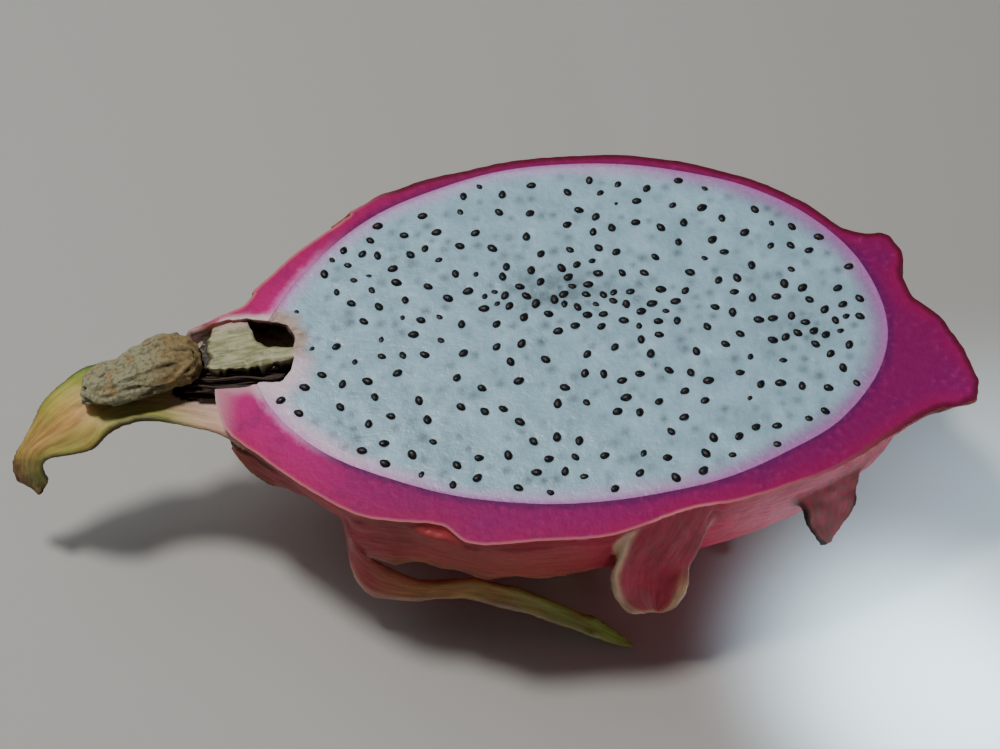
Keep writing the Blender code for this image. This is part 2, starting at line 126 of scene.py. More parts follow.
# Each scale is a strip between two edges. A station is a point on one edge, the point across from it on
# the other, the thickness in the middle and how far the middle bulges from the line between them.
SCALE_MARGIN = 1.0
SCALES = {
    "blossom_long": (
        ((-57.0, 0.0, -13.0), (-54.0, -23.5, -7.0), 6.0, 0.0),
        ((-64.0, 1.0, -9.5), (-60.5, -20.6, -4.6), 4.6, 0.8),
        ((-71.0, -1.5, -6.4), (-67.5, -17.2, -3.8), 3.4, 1.5),
        ((-79.0, -3.2, -3.8), (-77.0, -14.6, -4.4), 2.6, 1.7),
        ((-89.2, -3.8, -2.4), (-84.7, -15.6, -5.2), 2.0, 1.3),
        ((-97.0, -8.0, -4.6), (-90.3, -18.6, -8.4), 1.6, -0.6),
        ((-103.0, -13.2, -12.5), (-98.6, -17.4, -13.4), 1.3, -0.6),
        ((-105.8, -15.8, -18.4), (-99.4, -18.6, -19.4), 1.1, -0.6),
        ((-105.4, -16.6, -21.8), (-100.8, -18.8, -22.8), 1.0, -0.2),
    ),
    "blossom_far_arm": (
        ((-50.0, 14.5, 2.0), (-49.0, 13.5, -15.0), 4.0, 0.0),
        ((-58.0, 9.0, 2.0), (-57.5, 9.5, -14.0), 3.2, 0.8),
        ((-65.0, 4.8, 1.0), (-65.5, 6.0, -12.0), 2.4, 1.0),
        ((-72.5, 1.6, -0.6), (-74.0, 3.0, -6.0), 1.2, 0.4),
    ),
    "blossom_far_wing": (
        ((-40.0, 27.0, 1.5), (-40.0, 25.0, -14.0), 4.0, 0.0),
        ((-49.4, 22.0, 1.5), (-48.4, 21.4, -14.0), 2.8, 0.4),
        ((-56.2, 16.2, 1.0), (-55.4, 16.2, -12.0), 2.2, 0.5),
        ((-61.4, 10.0, -0.4), (-62.4, 10.8, -6.0), 1.2, 0.3),
    ),
    "far_rim_left": (
        ((-20.0, 38.6, 1.5), (-20.0, 36.6, -12.0), 3.4, 0.0),
        ((-33.0, 34.4, 1.5), (-32.0, 35.0, -12.0), 2.6, 0.6),
        ((-42.0, 29.6, 0.6), (-41.0, 31.2, -9.0), 1.8, 0.6),
        ((-48.0, 25.6, -1.2), (-48.0, 27.4, -5.0), 1.0, 0.2),
    ),
    "near_left_under": (
        ((-42.0, -31.0, -5.0), (-42.0, -27.0, -13.0), 3.6, 0.0),
        ((-53.0, -26.6, -4.4), (-53.0, -24.4, -12.0), 2.4, 0.5),
        ((-60.6, -21.4, -5.0), (-60.0, -22.0, -10.6), 1.6, 0.5),
        ((-64.6, -17.6, -6.0), (-64.0, -18.4, -8.4), 1.0, 0.0),
    ),
    "near_fold_over": (
        ((8.0, -37.0, -5.0), (6.0, -33.0, -22.0), 3.0, 0.0),
        ((-7.0, -41.0, -2.6), (-5.0, -37.0, -20.6), 3.2, 1.0),
        ((-20.0, -41.8, -2.0), (-17.0, -38.0, -19.4), 3.0, 1.4),
        ((-30.0, -38.2, -1.6), (-28.0, -38.0, -15.4), 3.0, 1.6),
        ((-38.0, -36.4, -2.4), (-37.0, -36.6, -15.6), 2.6, 1.0),
        ((-43.0, -33.6, -5.0), (-43.0, -34.0, -18.0), 2.2, 0.0),
    ),
    "near_fold_under": (
        ((-45.5, -26.0, -4.0), (-43.0, -23.0, -22.0), 3.4, 0.0),
        ((-43.6, -32.6, -5.0), (-43.2, -33.2, -24.0), 2.5, -0.8),
        ((-40.4, -35.8, -15.0), (-39.8, -36.6, -29.4), 2.0, -0.8),
        ((-31.6, -34.6, -27.0), (-31.2, -36.6, -31.4), 1.8, -0.5),
        ((-22.6, -33.6, -28.6), (-22.4, -36.0, -32.2), 1.6, -0.4),
        ((-13.0, -34.2, -31.2), (-12.6, -37.4, -34.6), 1.5, -0.5),
        ((-4.2, -36.3, -34.4), (-4.0, -39.6, -36.6), 1.4, -0.4),
        ((3.2, -38.6, -36.8), (3.0, -41.6, -38.2), 1.2, -0.2),
        ((8.4, -42.0, -38.4), (8.2, -43.0, -38.7), 1.0, 0.0),
    ),
    "near_spoon": (
        ((8.0, -33.5, 1.5), (23.0, -30.0, 1.0), 5.0, 0.0),
        ((5.2, -38.8, -2.0), (20.0, -35.4, -5.6), 3.0, 0.6),
        ((3.6, -41.2, -8.2), (17.8, -38.2, -12.6), 2.2, 1.8),
        ((3.3, -42.1, -15.8), (16.8, -40.6, -18.2), 1.9, 3.0),
        ((5.0, -42.6, -21.6), (15.4, -41.8, -22.6), 1.6, 2.4),
        ((9.4, -42.2, -25.2), (12.6, -41.9, -25.4), 1.1, 0.2),
    ),
    "near_right_point": (
        ((32.0, -27.0, -1.0), (48.0, -20.5, -1.0), 4.4, 0.0),
        ((36.6, -30.4, -7.0), (47.0, -25.6, -8.0), 3.0, 1.0),
        ((38.4, -32.2, -12.0), (46.4, -28.0, -13.0), 2.0, 0.8),
        ((41.4, -32.4, -17.6), (42.6, -31.8, -18.0), 1.0, 0.0),
    ),
    "stem_far_point": (
        ((43.0, 24.0, -12.0), (54.0, 9.0, -12.0), 5.0, 0.0),
        ((48.6, 24.0, -6.0), (57.6, 11.0, -6.0), 3.6, 0.6),
        ((52.8, 24.2, -1.4), (58.2, 15.0, -1.6), 2.2, 0.4),
        ((56.4, 23.9, 1.4), (58.2, 20.4, 1.4), 1.0, 0.0),
    ),
    "stem_broad_tip": (
        ((48.0, 18.0, -0.5), (45.0, -25.0, -0.5), 20.0, 0.0),
        ((61.4, 7.2, -0.5), (58.6, -16.4, -0.5), 13.0, 0.0),
        ((66.4, -0.4, -0.5), (64.8, -14.4, -0.5), 7.6, 0.0),
        ((69.2, -8.4, -0.5), (68.4, -13.0, -0.5), 3.0, 0.0),
    ),
}
# Scales on the back: (angle round the rim, how far down from it, the way that the scale grows as an
# angle seen from above, length, width, how far its tip lifts off)
BACK_SCALES = {
    "back_far_middle": (96, 0.26, 164, 36.0, 26.0, 4.5),
    "back_far_right": (50, 0.32, 150, 34.0, 25.0, 5.0),
    "back_stem_far": (20, 0.50, 62, 24.0, 19.0, 5.0),
    "back_far_left": (136, 0.44, 178, 40.0, 23.0, 6.0),
    "back_under_far": (96, 0.66, 190, 30.0, 20.0, 1.6),
    "back_under_blossom": (190, 0.42, 176, 36.0, 21.0, 7.0),
    "back_stem_under": (330, 0.60, 350, 20.0, 18.0, 1.0),
    "back_under_near": (300, 0.64, 200, 24.0, 18.0, 1.0),
}
BACK_SCALE_ROOT_SINK = 2.6

# How each scale is coloured, at even steps from its root to its tip: shares of warm, green, dry and pale skin along its
# first edge, its middle and its second edge. Then how far out from its middle the margins start, and how dark its very
# edge is. On some scales the dry share is also painted shade, as said at each.
PLAIN_MARGIN = ((0.1, 0.0, 0.0, 0.0), (0.25, 0.1, 0.0, 0.05), (0.45, 0.5, 0.1, 0.0), (0.3, 0.8, 0.5, 0.0))
PLAIN_TINT = (
    PLAIN_MARGIN,
    ((0.0, 0.0, 0.0, 0.0), (0.08, 0.0, 0.0, 0.05), (0.3, 0.35, 0.0, 0.0), (0.3, 0.9, 0.15, 0.0)),
    PLAIN_MARGIN,
    0.4,
    0.35,
)
RED_MARGIN = ((0.0, 0.0, 0.0, 0.0), (0.1, 0.0, 0.1, 0.0), (0.2, 0.0, 0.2, 0.0), (0.2, 0.0, 0.4, 0.0))
RED_TINT = (
    RED_MARGIN,
    ((0.0, 0.0, 0.0, 0.0), (0.1, 0.0, 0.0, 0.0), (0.15, 0.0, 0.05, 0.0), (0.2, 0.0, 0.2, 0.0)),
    RED_MARGIN,
    0.4,
    0.6,
)
SCALE_TINTS = {
    "blossom_long": (
        ((0.1, 0.0, 0.0, 0.5), (0.2, 0.1, 0.0, 0.5), (0.6, 0.6, 0.0, 0.3), (0.7, 0.9, 0.0, 0.03),
         (0.9, 0.9, 0.0, 0.02), (0.9, 0.85, 0.0, 0.0), (0.8, 0.6, 0.15, 0.0), (0.4, 0.4, 0.6, 0.0),
         (0.2, 0.3, 0.9, 0.0)),
        ((0.05, 0.0, 0.0, 0.5), (0.1, 0.0, 0.0, 0.6), (0.6, 0.1, 0.0, 0.95), (0.9, 0.5, 0.0, 0.3),
         (0.95, 0.35, 0.0, 0.1), (0.95, 0.0, 0.0, 0.06), (0.9, 0.1, 0.1, 0.03), (0.5, 0.6, 0.4, 0.1),
         (0.3, 0.4, 0.9, 0.0)),
        ((0.5, 0.0, 0.1, 0.5), (0.7, 0.0, 0.1, 0.5), (0.95, 0.15, 0.1, 0.45), (0.9, 0.8, 0.0, 0.1),
         (1.0, 0.6, 0.0, 0.08), (1.0, 0.6, 0.0, 0.06), (0.9, 0.75, 0.05, 0.05), (0.5, 0.7, 0.3, 0.05),
         (0.3, 0.4, 0.9, 0.0)),
        -0.45,
        0.8,
    ),
    "blossom_far_arm": (
        ((0.0, 0.0, 0.0, 0.1), (0.0, 0.0, 0.0, 0.15), (0.1, 0.0, 0.0, 0.2), (0.3, 0.0, 0.2, 0.1)),
        ((0.0, 0.0, 0.0, 0.4), (0.0, 0.0, 0.0, 0.4), (0.1, 0.0, 0.0, 0.4), (0.3, 0.0, 0.1, 0.2)),
        ((0.0, 0.0, 0.0, 0.1), (0.0, 0.0, 0.0, 0.15), (0.1, 0.0, 0.0, 0.2), (0.3, 0.0, 0.2, 0.1)),
        0.4,
        0.2,
    ),
    "blossom_far_wing": RED_TINT,
    "far_rim_left": RED_TINT,
    # near_left_under: its dry shares darken it, partly dried skin and partly painted shade under the near rim.
    "near_left_under": (
        ((0.0, 0.0, 0.1, 0.0), (0.0, 0.0, 0.2, 0.0), (0.1, 0.05, 0.2, 0.0), (0.2, 0.1, 0.3, 0.0)),
        ((0.0, 0.0, 0.1, 0.0), (0.0, 0.0, 0.15, 0.0), (0.05, 0.05, 0.15, 0.0), (0.2, 0.1, 0.2, 0.0)),
        ((0.3, 0.2, 0.1, 0.0), (0.4, 0.3, 0.2, 0.0), (0.3, 0.2, 0.3, 0.0), (0.3, 0.2, 0.4, 0.0)),
        0.5,
        0.7,
    ),
    # near_fold_over: the dry shares along its second, lower edge are painted shade where the fold turns under.
    "near_fold_over": (
        ((0.05, 0.0, 0.0, 0.04), (0.08, 0.0, 0.0, 0.04), (0.08, 0.0, 0.0, 0.04), (0.0, 0.0, 0.0, 0.08)),
        ((0.03, 0.0, 0.0, 0.02), (0.12, 0.05, 0.0, 0.03), (0.12, 0.0, 0.0, 0.04), (0.0, 0.0, 0.0, 0.05)),
        ((0.2, 0.0, 0.3, 0.0), (0.2, 0.1, 0.3, 0.0), (0.3, 0.1, 0.2, 0.0), (0.12, 0.0, 0.0, 0.3)),
        0.5,
        0.25,
    ),
    "near_fold_under": (
        ((0.0, 0.0, 0.1, 0.0), (0.1, 0.0, 0.1, 0.0), (0.6, 0.2, 0.1, 0.0), (0.4, 0.85, 0.05, 0.0),
         (0.0, 1.0, 0.1, 0.0)),
        ((0.0, 0.0, 0.0, 0.03), (0.1, 0.0, 0.0, 0.05), (0.9, 0.3, 0.0, 0.1), (0.4, 0.9, 0.0, 0.1),
         (0.0, 1.0, 0.0, 0.0)),
        ((0.0, 0.0, 0.0, 0.4), (0.6, 0.0, 0.0, 0.5), (1.0, 0.5, 0.0, 0.5), (0.9, 0.75, 0.0, 0.35),
         (0.0, 1.0, 0.1, 0.0)),
        0.5,
        0.3,
    ),
    # near_spoon: the dry shares in its middle near the root are painted shade, where the cup lies under the rim.
    "near_spoon": (
        ((0.5, 0.1, 0.0, 0.4), (0.95, 0.25, 0.0, 0.35), (0.95, 0.25, 0.0, 0.35), (0.95, 0.25, 0.1, 0.3)),
        ((0.0, 0.0, 0.2, 0.0), (0.0, 0.0, 0.35, 0.0), (0.02, 0.0, 0.05, 0.02), (0.1, 0.0, 0.0, 0.08)),
        ((0.1, 0.0, 0.0, 0.0), (0.4, 0.0, 0.1, 0.1), (0.9, 0.25, 0.05, 0.35), (0.95, 0.25, 0.1, 0.3)),
        0.72,
        0.3,
    ),
    "near_right_point": (
        ((0.0, 0.0, 0.2, 0.0), (0.05, 0.0, 0.4, 0.0), (0.1, 0.0, 0.5, 0.0), (0.1, 0.0, 0.7, 0.0)),
        ((0.0, 0.0, 0.4, 0.0), (0.0, 0.0, 0.5, 0.0), (0.0, 0.0, 0.5, 0.0), (0.05, 0.0, 0.7, 0.0)),
        ((0.0, 0.0, 0.4, 0.0), (0.05, 0.0, 0.6, 0.0), (0.1, 0.0, 0.7, 0.0), (0.1, 0.0, 0.8, 0.0)),
        0.6,
        1.0,
    ),
    "stem_far_point": RED_TINT,
    "stem_broad_tip": RED_TINT,
}

# Where the margin along a scale's second edge starts to show
LATE_MARGINS = {"near_spoon": 0.55}

# Seeds on the cut face
SEED_DRAW = 7
SEED_COUNT = 275
SEEDS_STANDING_OUT = 210
SEED_SPACING = 1.9
SEED_MARGIN = 2.2
SEED_CROWDS = (
    ((-6.5, 11.0), (11.0, 4.6), 5.0),
    ((36.5, 3.5), (7.0, 6.0), 2.2),
    ((-38.0, 14.0), (9.0, 9.0), 1.0),
    ((46.5, 5.0), (4.0, 10.0), 1.0),
    ((9.0, 3.0), (14.0, 10.0), 0.8),
)
BURIED_DRAW = 11


# What a user would change


class RindSettings(PropertyGroup):
    """Sizes and colours of the rind and its scales."""

    fineness: FloatProperty(name="Fineness", description="Size of the mesh's cells", default=0.0005, unit="LENGTH")
    ripple: FloatProperty(
        name="Ripple", description="How far the scales' margins wave", default=0.0005, unit="LENGTH"
    )
    roughness: FloatProperty(name="Roughness", description="Roughness of the skin", default=0.42, min=0, max=1)
    skin: FloatVectorProperty(
        name="Skin", description="Colour of the ripe skin", default=(0.60, 0.022, 0.072), subtype="COLOR"
    )
    skin_shade: FloatVectorProperty(
        name="Skin shade", description="Darker patches of the skin", default=(0.40, 0.015, 0.042), subtype="COLOR"
    )
    warm: FloatVectorProperty(
        name="Warm", description="Orange parts of the scales", default=(0.84, 0.41, 0.125), subtype="COLOR"
    )
    green: FloatVectorProperty(
        name="Green", description="Green tips of the scales", default=(0.35, 0.49, 0.08), subtype="COLOR"
    )
    # Also painted shade on some scales, through their dry shares.
    dry_and_shade: FloatVectorProperty(
        name="Dry", description="Dried edges of the scales", default=(0.13, 0.10, 0.075), subtype="COLOR"
    )
    pale: FloatVectorProperty(
        name="Pale tissue", description="Pale tissue round the hollow", default=(0.82, 0.64, 0.64), subtype="COLOR"
    )
    cut_inner: FloatVectorProperty(
        name="Cut, inside", description="Cut rind next to the pulp", default=(0.17, 0.008, 0.13), subtype="COLOR"
    )
    cut_bright: FloatVectorProperty(
        name="Cut, bright", description="Cut rind at the blossom end", default=(0.60, 0.006, 0.21), subtype="COLOR"
    )
    cut_deep: FloatVectorProperty(
        name="Cut, deep", description="Cut rind at the stem end", default=(0.25, 0.006, 0.125), subtype="COLOR"
    )
    # Partly the skin's edge, partly a painted highlight along the near edge of the cut
    cut_edge_highlight: FloatVectorProperty(
        name="Cut, pale line", description="Edge of the cut on the near side", default=(0.72, 0.22, 0.24),
        subtype="COLOR"
    )
    cut_dark_line: FloatVectorProperty(
        name="Cut, dark line", description="Edge of the cut on the far side", default=(0.11, 0.008, 0.020),
        subtype="COLOR"
    )


class PulpSettings(PropertyGroup):
    """Sizes and colours of the pulp and its seeds."""

    fineness: FloatProperty(name="Fineness", description="Size of the mesh's cells", default=0.00055, unit="LENGTH")
    flesh: FloatVectorProperty(
        name="Flesh", description="Colour of the flesh", default=(0.50, 0.76, 0.92), subtype="COLOR"
    )
    flesh_shade: FloatVectorProperty(
        name="Flesh shade", description="Clearer, darker grains", default=(0.33, 0.53, 0.64), subtype="COLOR"
    )
    edge: FloatVectorProperty(
        name="Edge", description="Flesh near the rind", default=(0.66, 0.50, 0.80), subtype="COLOR"
    )
    seed_length: FloatProperty(name="Seed length", description="Length of a seed", default=0.0021, unit="LENGTH")
    seed_width: FloatProperty(name="Seed width", description="Width of a seed", default=0.0016, unit="LENGTH")
    seed: FloatVectorProperty(
        name="Seed colour", description="Colour of the seeds", default=(0.006, 0.006, 0.009), subtype="COLOR"
    )
    buried: IntProperty(name="Buried seeds", description="Seeds that show dimly through the flesh", default=250)


class FlowerSettings(PropertyGroup):
    """Sizes and colours of the withered flower."""

    fineness: FloatProperty(name="Fineness", description="Size of the mesh's cells", default=0.00022, unit="LENGTH")
    grey: FloatVectorProperty(
        name="Grey", description="Weathered outer part", default=(0.33, 0.32, 0.19), subtype="COLOR"
    )
    brown: FloatVectorProperty(
        name="Brown", description="Brown inner part", default=(0.30, 0.22, 0.095), subtype="COLOR"
    )
    core: FloatVectorProperty(
        name="Core", description="Pale fibres of the core", default=(0.50, 0.48, 0.27), subtype="COLOR"
    )
    strands: IntProperty(name="Strands", description="Dried stamens in the hollow", default=16)


class StageSettings(PropertyGroup):
    """Floor and light."""

    floor: FloatVectorProperty(
        name="Floor", description="Colour of the floor", default=(0.50, 0.50, 0.475), subtype="COLOR"
    )
    key: FloatProperty(name="Key light", description="Strength of the key light", default=3.75, unit="POWER")
    fill: FloatProperty(name="Fill light", description="Strength of the fill light", default=2.5, unit="POWER")
    low: FloatProperty(name="Low light", description="Strength of the low front light", default=24.0, unit="POWER")
    side: FloatProperty(name="Side light", description="Strength of the cool side light", default=80.0, unit="POWER")


# Outlines and surfaces


def closed_curve(points, angle):
    """The distance at this angle on a smooth closed line through (angle, distance) points."""
    count = len(points)
    angle %= 360
    after = next((i for i, p in enumerate(points) if p[0] > angle), count)
    knots = [points[(after + k) % count] for k in (-2, -1, 0, 1)]
    turns = [360 * ((after + k) // count) for k in (-2, -1, 0, 1)]
    a, b, c, d = (knot[0] + turn for knot, turn in zip(knots, turns))
    pa, pb, pc, pd = (knot[1] for knot in knots)
    t = (angle - b) / (c - b)
    slope_b = (pc - pa) / (c - a) * (c - b)
    slope_c = (pd - pb) / (d - b) * (c - b)
    return (
        pb * (2 * t**3 - 3 * t**2 + 1)
        + slope_b * (t**3 - 2 * t**2 + t)
        + pc * (3 * t**2 - 2 * t**3)
        + slope_c * (t**3 - t**2)
    )


def oval(half_length, half_width, angle):
    a = math.radians(angle)
    return 1 / math.hypot(math.cos(a) / half_length, math.sin(a) / half_width)


def rind_point(angle, sink):
    """A point on the outside of the rind: sink is 0 at the cut face and 1 under the middle."""
    plain = oval(BACK_HALF_LENGTH, BACK_HALF_WIDTH, angle)
    uneven = closed_curve(RIM, angle) - plain
    reach = (plain + uneven * max(0.0, 1 - sink) ** 2) * math.cos(sink * math.pi / 2)
    a = math.radians(angle)
    return Vector((reach * math.cos(a), reach * math.sin(a), -BODY_DEPTH * math.sin(sink * math.pi / 2)))


def pulp_point(angle, sink, grown):
    """A point on the outside of the pulp, moved out by grown."""
    reach = (closed_curve(PULP_EDGE, angle) + grown) * math.cos(sink * math.pi / 2)
    a = math.radians(angle)
    depth = (PULP_DEPTH + grown) * math.sin(sink * math.pi / 2)
    return Vector((reach * math.cos(a), reach * math.sin(a), -depth))


def rind_normal(angle, sink):
    step = 0.01
    around = rind_point(angle + 1, sink) - rind_point(angle - 1, sink)
    down = rind_point(angle, sink + step) - rind_point(angle, sink - step)
    return down.cross(around).normalized()


def sink_of(place, angle):
    """How far down the back a place is, by the slope of the line to it from the middle."""
    plain = oval(BACK_HALF_LENGTH, BACK_HALF_WIDTH, angle)
    across = math.hypot(place.x, place.y) / plain
    return math.atan2(max(-place.z, 0.0) / BODY_DEPTH, across) / (math.pi / 2)


def spline(rows, t):
    """Rows of equal numbers, read at t from 0 to 1 on a smooth line through them."""
    span = t * (len(rows) - 1)
    i = min(int(span), len(rows) - 2)
    t = span - i
    before, here, after, beyond = (rows[min(max(i + k, 0), len(rows) - 1)] for k in (-1, 0, 1, 2))
    return [
        0.5 * (2 * b + (c - a) * t + (2 * a - 5 * b + 4 * c - d) * t**2 + (3 * b - a - 3 * c + d) * t**3)
        for a, b, c, d in zip(before, here, after, beyond)
    ]


def between(rows, t):
    """Rows of equal numbers, read at t from 0 to 1 on straight lines between them."""
    span = min(max(t, 0), 1) * (len(rows) - 1)
    i = min(int(span), len(rows) - 2)
    return [a + (b - a) * (span - i) for a, b in zip(rows[i], rows[i + 1])]


def smooth_step(low, high, value):
    t = min(max((value - low) / (high - low), 0.0), 1.0)
    return t * t * (3 - 2 * t)


def hollow_share(x, y):
    """1 on the hollow's outline on the cut face, less inside it and more outside."""
    shares = []
    for centre, half_sizes in HOLLOW_LOBES:
        parts = [(abs(p - c) / h) ** HOLLOW_BLUNTNESS for p, c, h in zip((x, y), centre, half_sizes)]
        shares.append(sum(parts) ** (1 / HOLLOW_BLUNTNESS))
    return min(shares)


def in_hollow(x, y, margin):
    """Whether a point of the cut face is in the hollow or this near to it."""
    for centre, half_sizes in HOLLOW_LOBES:
        shares = [abs(p - c) / (h + margin) for p, c, h in zip((x, y), centre, half_sizes)]
        if sum(share**HOLLOW_BLUNTNESS for share in shares) < 1:
            return True
    return False


def back_stations(angle, sink, heading, length, width, lift):
    """Stations of a scale that grows from the back and follows it, its tip lifting off."""
    heading = Vector((math.cos(math.radians(heading)), math.sin(math.radians(heading)), 0))
    stations = []
    place = rind_point(angle, sink)
    steps = 5
    for k in range(steps):
        t = k / (steps - 1)
        a = math.degrees(math.atan2(place.y, place.x))
        s = min(sink_of(place, a), REST_SINK)
        normal = rind_normal(a, s)
        along = (heading - normal * heading.dot(normal)).normalized()
        side = along.cross(normal)
        centre = rind_point(a, s) + normal * (lift * t * t - BACK_SCALE_ROOT_SINK * (1 - t) ** 2)
        half = width / 2 * (1 - t**2.2) ** 0.8 + 0.5
        thickness = 4.5 * (1 - t) ** 1.5 + 1.0
        stations.append((centre - side * half, centre + side * half, thickness, -half * half / 90))
        place = rind_point(a, s) + along * length / (steps - 1)
    return tuple((tuple(a), tuple(b), thickness, bulge) for a, b, thickness, bulge in stations)


def seed_crowd(x, y):
    """How crowded the seeds are at a place, 1 where they are not."""
    return 1 + sum(
        strength * math.exp(-(((x - cx) / rx) ** 2) - ((y - cy) / ry) ** 2)
        for (cx, cy), (rx, ry), strength in SEED_CROWDS
    )


def seed_places():
    """(x, y, turn) of every seed that shows on the cut face, by a seeded draw that crowds them."""
    draw = random.Random(SEED_DRAW)
    found = []
    while len(found) < SEED_COUNT:
        x, y = draw.uniform(-60, 56), draw.uniform(-36, 42)
        chance, turn = draw.random() * 4.0, draw.uniform(0, math.pi)
        angle = math.degrees(math.atan2(y, x))
        if math.hypot(x, y) > closed_curve(PULP_EDGE, angle) - SEED_MARGIN:
            continue
        if in_hollow(x, y, SEED_MARGIN):
            continue
        crowd = seed_crowd(x, y)
        spacing = max(SEED_SPACING, 3.4 / math.sqrt(crowd))
        if chance > crowd or any(math.hypot(x - a, y - b) < spacing for a, b, _ in found):
            continue
        found.append((x, y, turn))
    return found


def buried_places(count):
    """(x, y) of seeds below the surface, away from those that show."""
    draw = random.Random(BURIED_DRAW)
    shown = [(x, y) for x, y, _ in seed_places()]
    found = []
    while len(found) < count:
        x, y = draw.uniform(-58, 54), draw.uniform(-34, 40)
        chance = draw.random() * 4.0
        if math.hypot(x, y) > closed_curve(PULP_EDGE, math.degrees(math.atan2(y, x))) - 3:
            continue
        crowd = seed_crowd(x, y)
        spacing = 2.0 if crowd < 2.5 else 1.3
        if chance > crowd or in_hollow(x, y, 3):
            continue
        if any(math.hypot(x - a, y - b) < spacing for a, b in shown + found):
            continue
        found.append((x, y))
    return found


# Modelling


def deselect():
    if bpy.context.object and bpy.context.object.mode != "OBJECT":
        bpy.ops.object.mode_set(mode="OBJECT")
    bpy.ops.object.select_all(action="DESELECT")


def pick(*pieces):
    """Selects these objects alone, the first of them active."""
    deselect()
    for piece in pieces:
        piece.select_set(True)
    bpy.context.view_layer.objects.active = pieces[0]
    return pieces[0]


def edit_all():
    bpy.ops.object.mode_set(mode="EDIT")
    bpy.ops.mesh.select_all(action="SELECT")


def object_mode():
    bpy.ops.object.mode_set(mode="OBJECT")


def slice_at_cut():
    """Cuts the active piece at the cut face and closes it there."""
    edit_all()
    bpy.ops.mesh.bisect(plane_co=(0, 0, 0), plane_no=(0, 0, 1), use_fill=True, clear_outer=True)
    object_mode()


def apply_modifier(piece, kind, **settings):
    pick(piece)
    modifier = piece.modifiers.new(kind.title(), kind)
    for name, value in settings.items():
        setattr(modifier, name, value)
    bpy.ops.object.modifier_apply(modifier=modifier.name)


def join(pieces, name):
    pick(*pieces)
    if len(pieces) > 1:
        bpy.ops.object.join()
    joined = bpy.context.object
    joined.name = joined.data.name = name
    return joined


def remove(*pieces):
    for piece in pieces:
        mesh = piece.data
        bpy.data.objects.remove(piece)
        bpy.data.meshes.remove(mesh)


def vertex_group(piece, name, weights):
    """A vertex group from (vertex index, weight) pairs."""
    group = piece.vertex_groups.new(name=name)
    for index, weight in weights:
        group.add([index], weight, "REPLACE")
    return group


def add_half_body(name, point_at, top=0.0):
    """A half ball whose points are moved to point_at(angle, sink), closed by a flat top."""
    deselect()
    bpy.ops.mesh.primitive_uv_sphere_add(segments=180, ring_count=90, radius=1)
    body = bpy.context.object
    body.name = name
    slice_at_cut()
    for v in body.data.vertices:
        sink = math.asin(min(max(-v.co.z, 0.0), 1.0)) / (math.pi / 2)
        v.co = point_at(math.degrees(math.atan2(v.co.y, v.co.x)), sink)
    if top:
        edit_all()
        bpy.ops.mesh.select_all(action="DESELECT")
        work = bmesh.from_edit_mesh(body.data)
        work.faces.ensure_lookup_table()
        for face in work.faces:
            face.select_set(len(face.verts) > 20 and face.calc_center_median().z > -0.01)
        bmesh.update_edit_mesh(body.data)
        bpy.ops.mesh.extrude_region_move(TRANSFORM_OT_translate={"value": (0, 0, top)})
        object_mode()
    return body


def add_knife(cell):
    """A block that stands on the cut face. Its underside is a fine grid, so that the faces it cuts get even
    cells."""
    deselect()
    bpy.ops.mesh.primitive_grid_add(
        x_subdivisions=int(200 / cell), y_subdivisions=int(110 / cell), size=1, location=(-18, 0, 0)
    )
    knife = bpy.context.object
    knife.name = "knife"
    edit_all()
    bpy.ops.transform.resize(value=(200, 110, 1))
    bpy.ops.mesh.select_mode(type="EDGE")
    bpy.ops.mesh.select_all(action="DESELECT")
    bpy.ops.mesh.select_non_manifold()
    bpy.ops.mesh.extrude_edges_move(TRANSFORM_OT_translate={"value": (0, 0, 40)})
    bpy.ops.mesh.edge_face_add()
    bpy.ops.mesh.select_mode(type="VERT")
    bpy.ops.mesh.select_all(action="SELECT")
    bpy.ops.mesh.normals_make_consistent(inside=False)
    object_mode()
    bpy.ops.object.transform_apply(location=True, rotation=False, scale=False)
    return knife


def cut_by(piece, *cutters):
    """Takes each cutter's space out of a piece, and removes the cutter."""
    for cutter in cutters:
        apply_modifier(piece, "BOOLEAN", operation="DIFFERENCE", object=cutter, solver="MANIFOLD")
        remove(cutter)


def add_hollow_cutters():
    found = []
    power = 2 / HOLLOW_BLUNTNESS
    for centre, half_sizes in HOLLOW_LOBES:
        deselect()
        bpy.ops.mesh.primitive_uv_sphere_add(segments=64, ring_count=32, radius=1)
        lobe = bpy.context.object
        lobe.name = "hollow_space"
        for v in lobe.data.vertices:
            level = math.hypot(v.co.x, v.co.y)
            if level > 1e-6:
                sides = [math.copysign(abs(c / level) ** power * level, c) for c in v.co[:2]]
            else:
                sides = [0, 0]
            shape = Vector((*sides, v.co.z))
            spot = Vector([c + h * s for c, h, s in zip(centre, half_sizes, shape)])
            torn = 1 + 0.09 * noise.noise(spot * 0.35) + 0.04 * noise.noise(spot * 1.1)
            v.co = Vector(centre) + (spot - Vector(centre)) * torn
        found.append(lobe)
    return found


def scale_surface(stations, t, u):
    """The middle surface of a scale at t from root to tip and u from -1 to 1 across, its normal, and its
    thickness there."""
    rows = [[*a, *b, thickness, bulge] for a, b, thickness, bulge in stations]
    row = spline(rows, t)
    ahead, behind = spline(rows, min(t + 0.01, 1)), spline(rows, max(t - 0.01, 0))
    a, b, thickness, bulge = Vector(row[:3]), Vector(row[3:6]), row[6], row[7]
    forward = Vector(ahead[:3]) + Vector(ahead[3:6]) - Vector(behind[:3]) - Vector(behind[3:6])
    normal = (b - a).cross(forward).normalized()
    middle = a.lerp(b, (u + 1) / 2) + normal * bulge * (1 - u * u)
    return middle, normal, SCALE_MARGIN + max(thickness - SCALE_MARGIN, 0) * (1 - u * u)


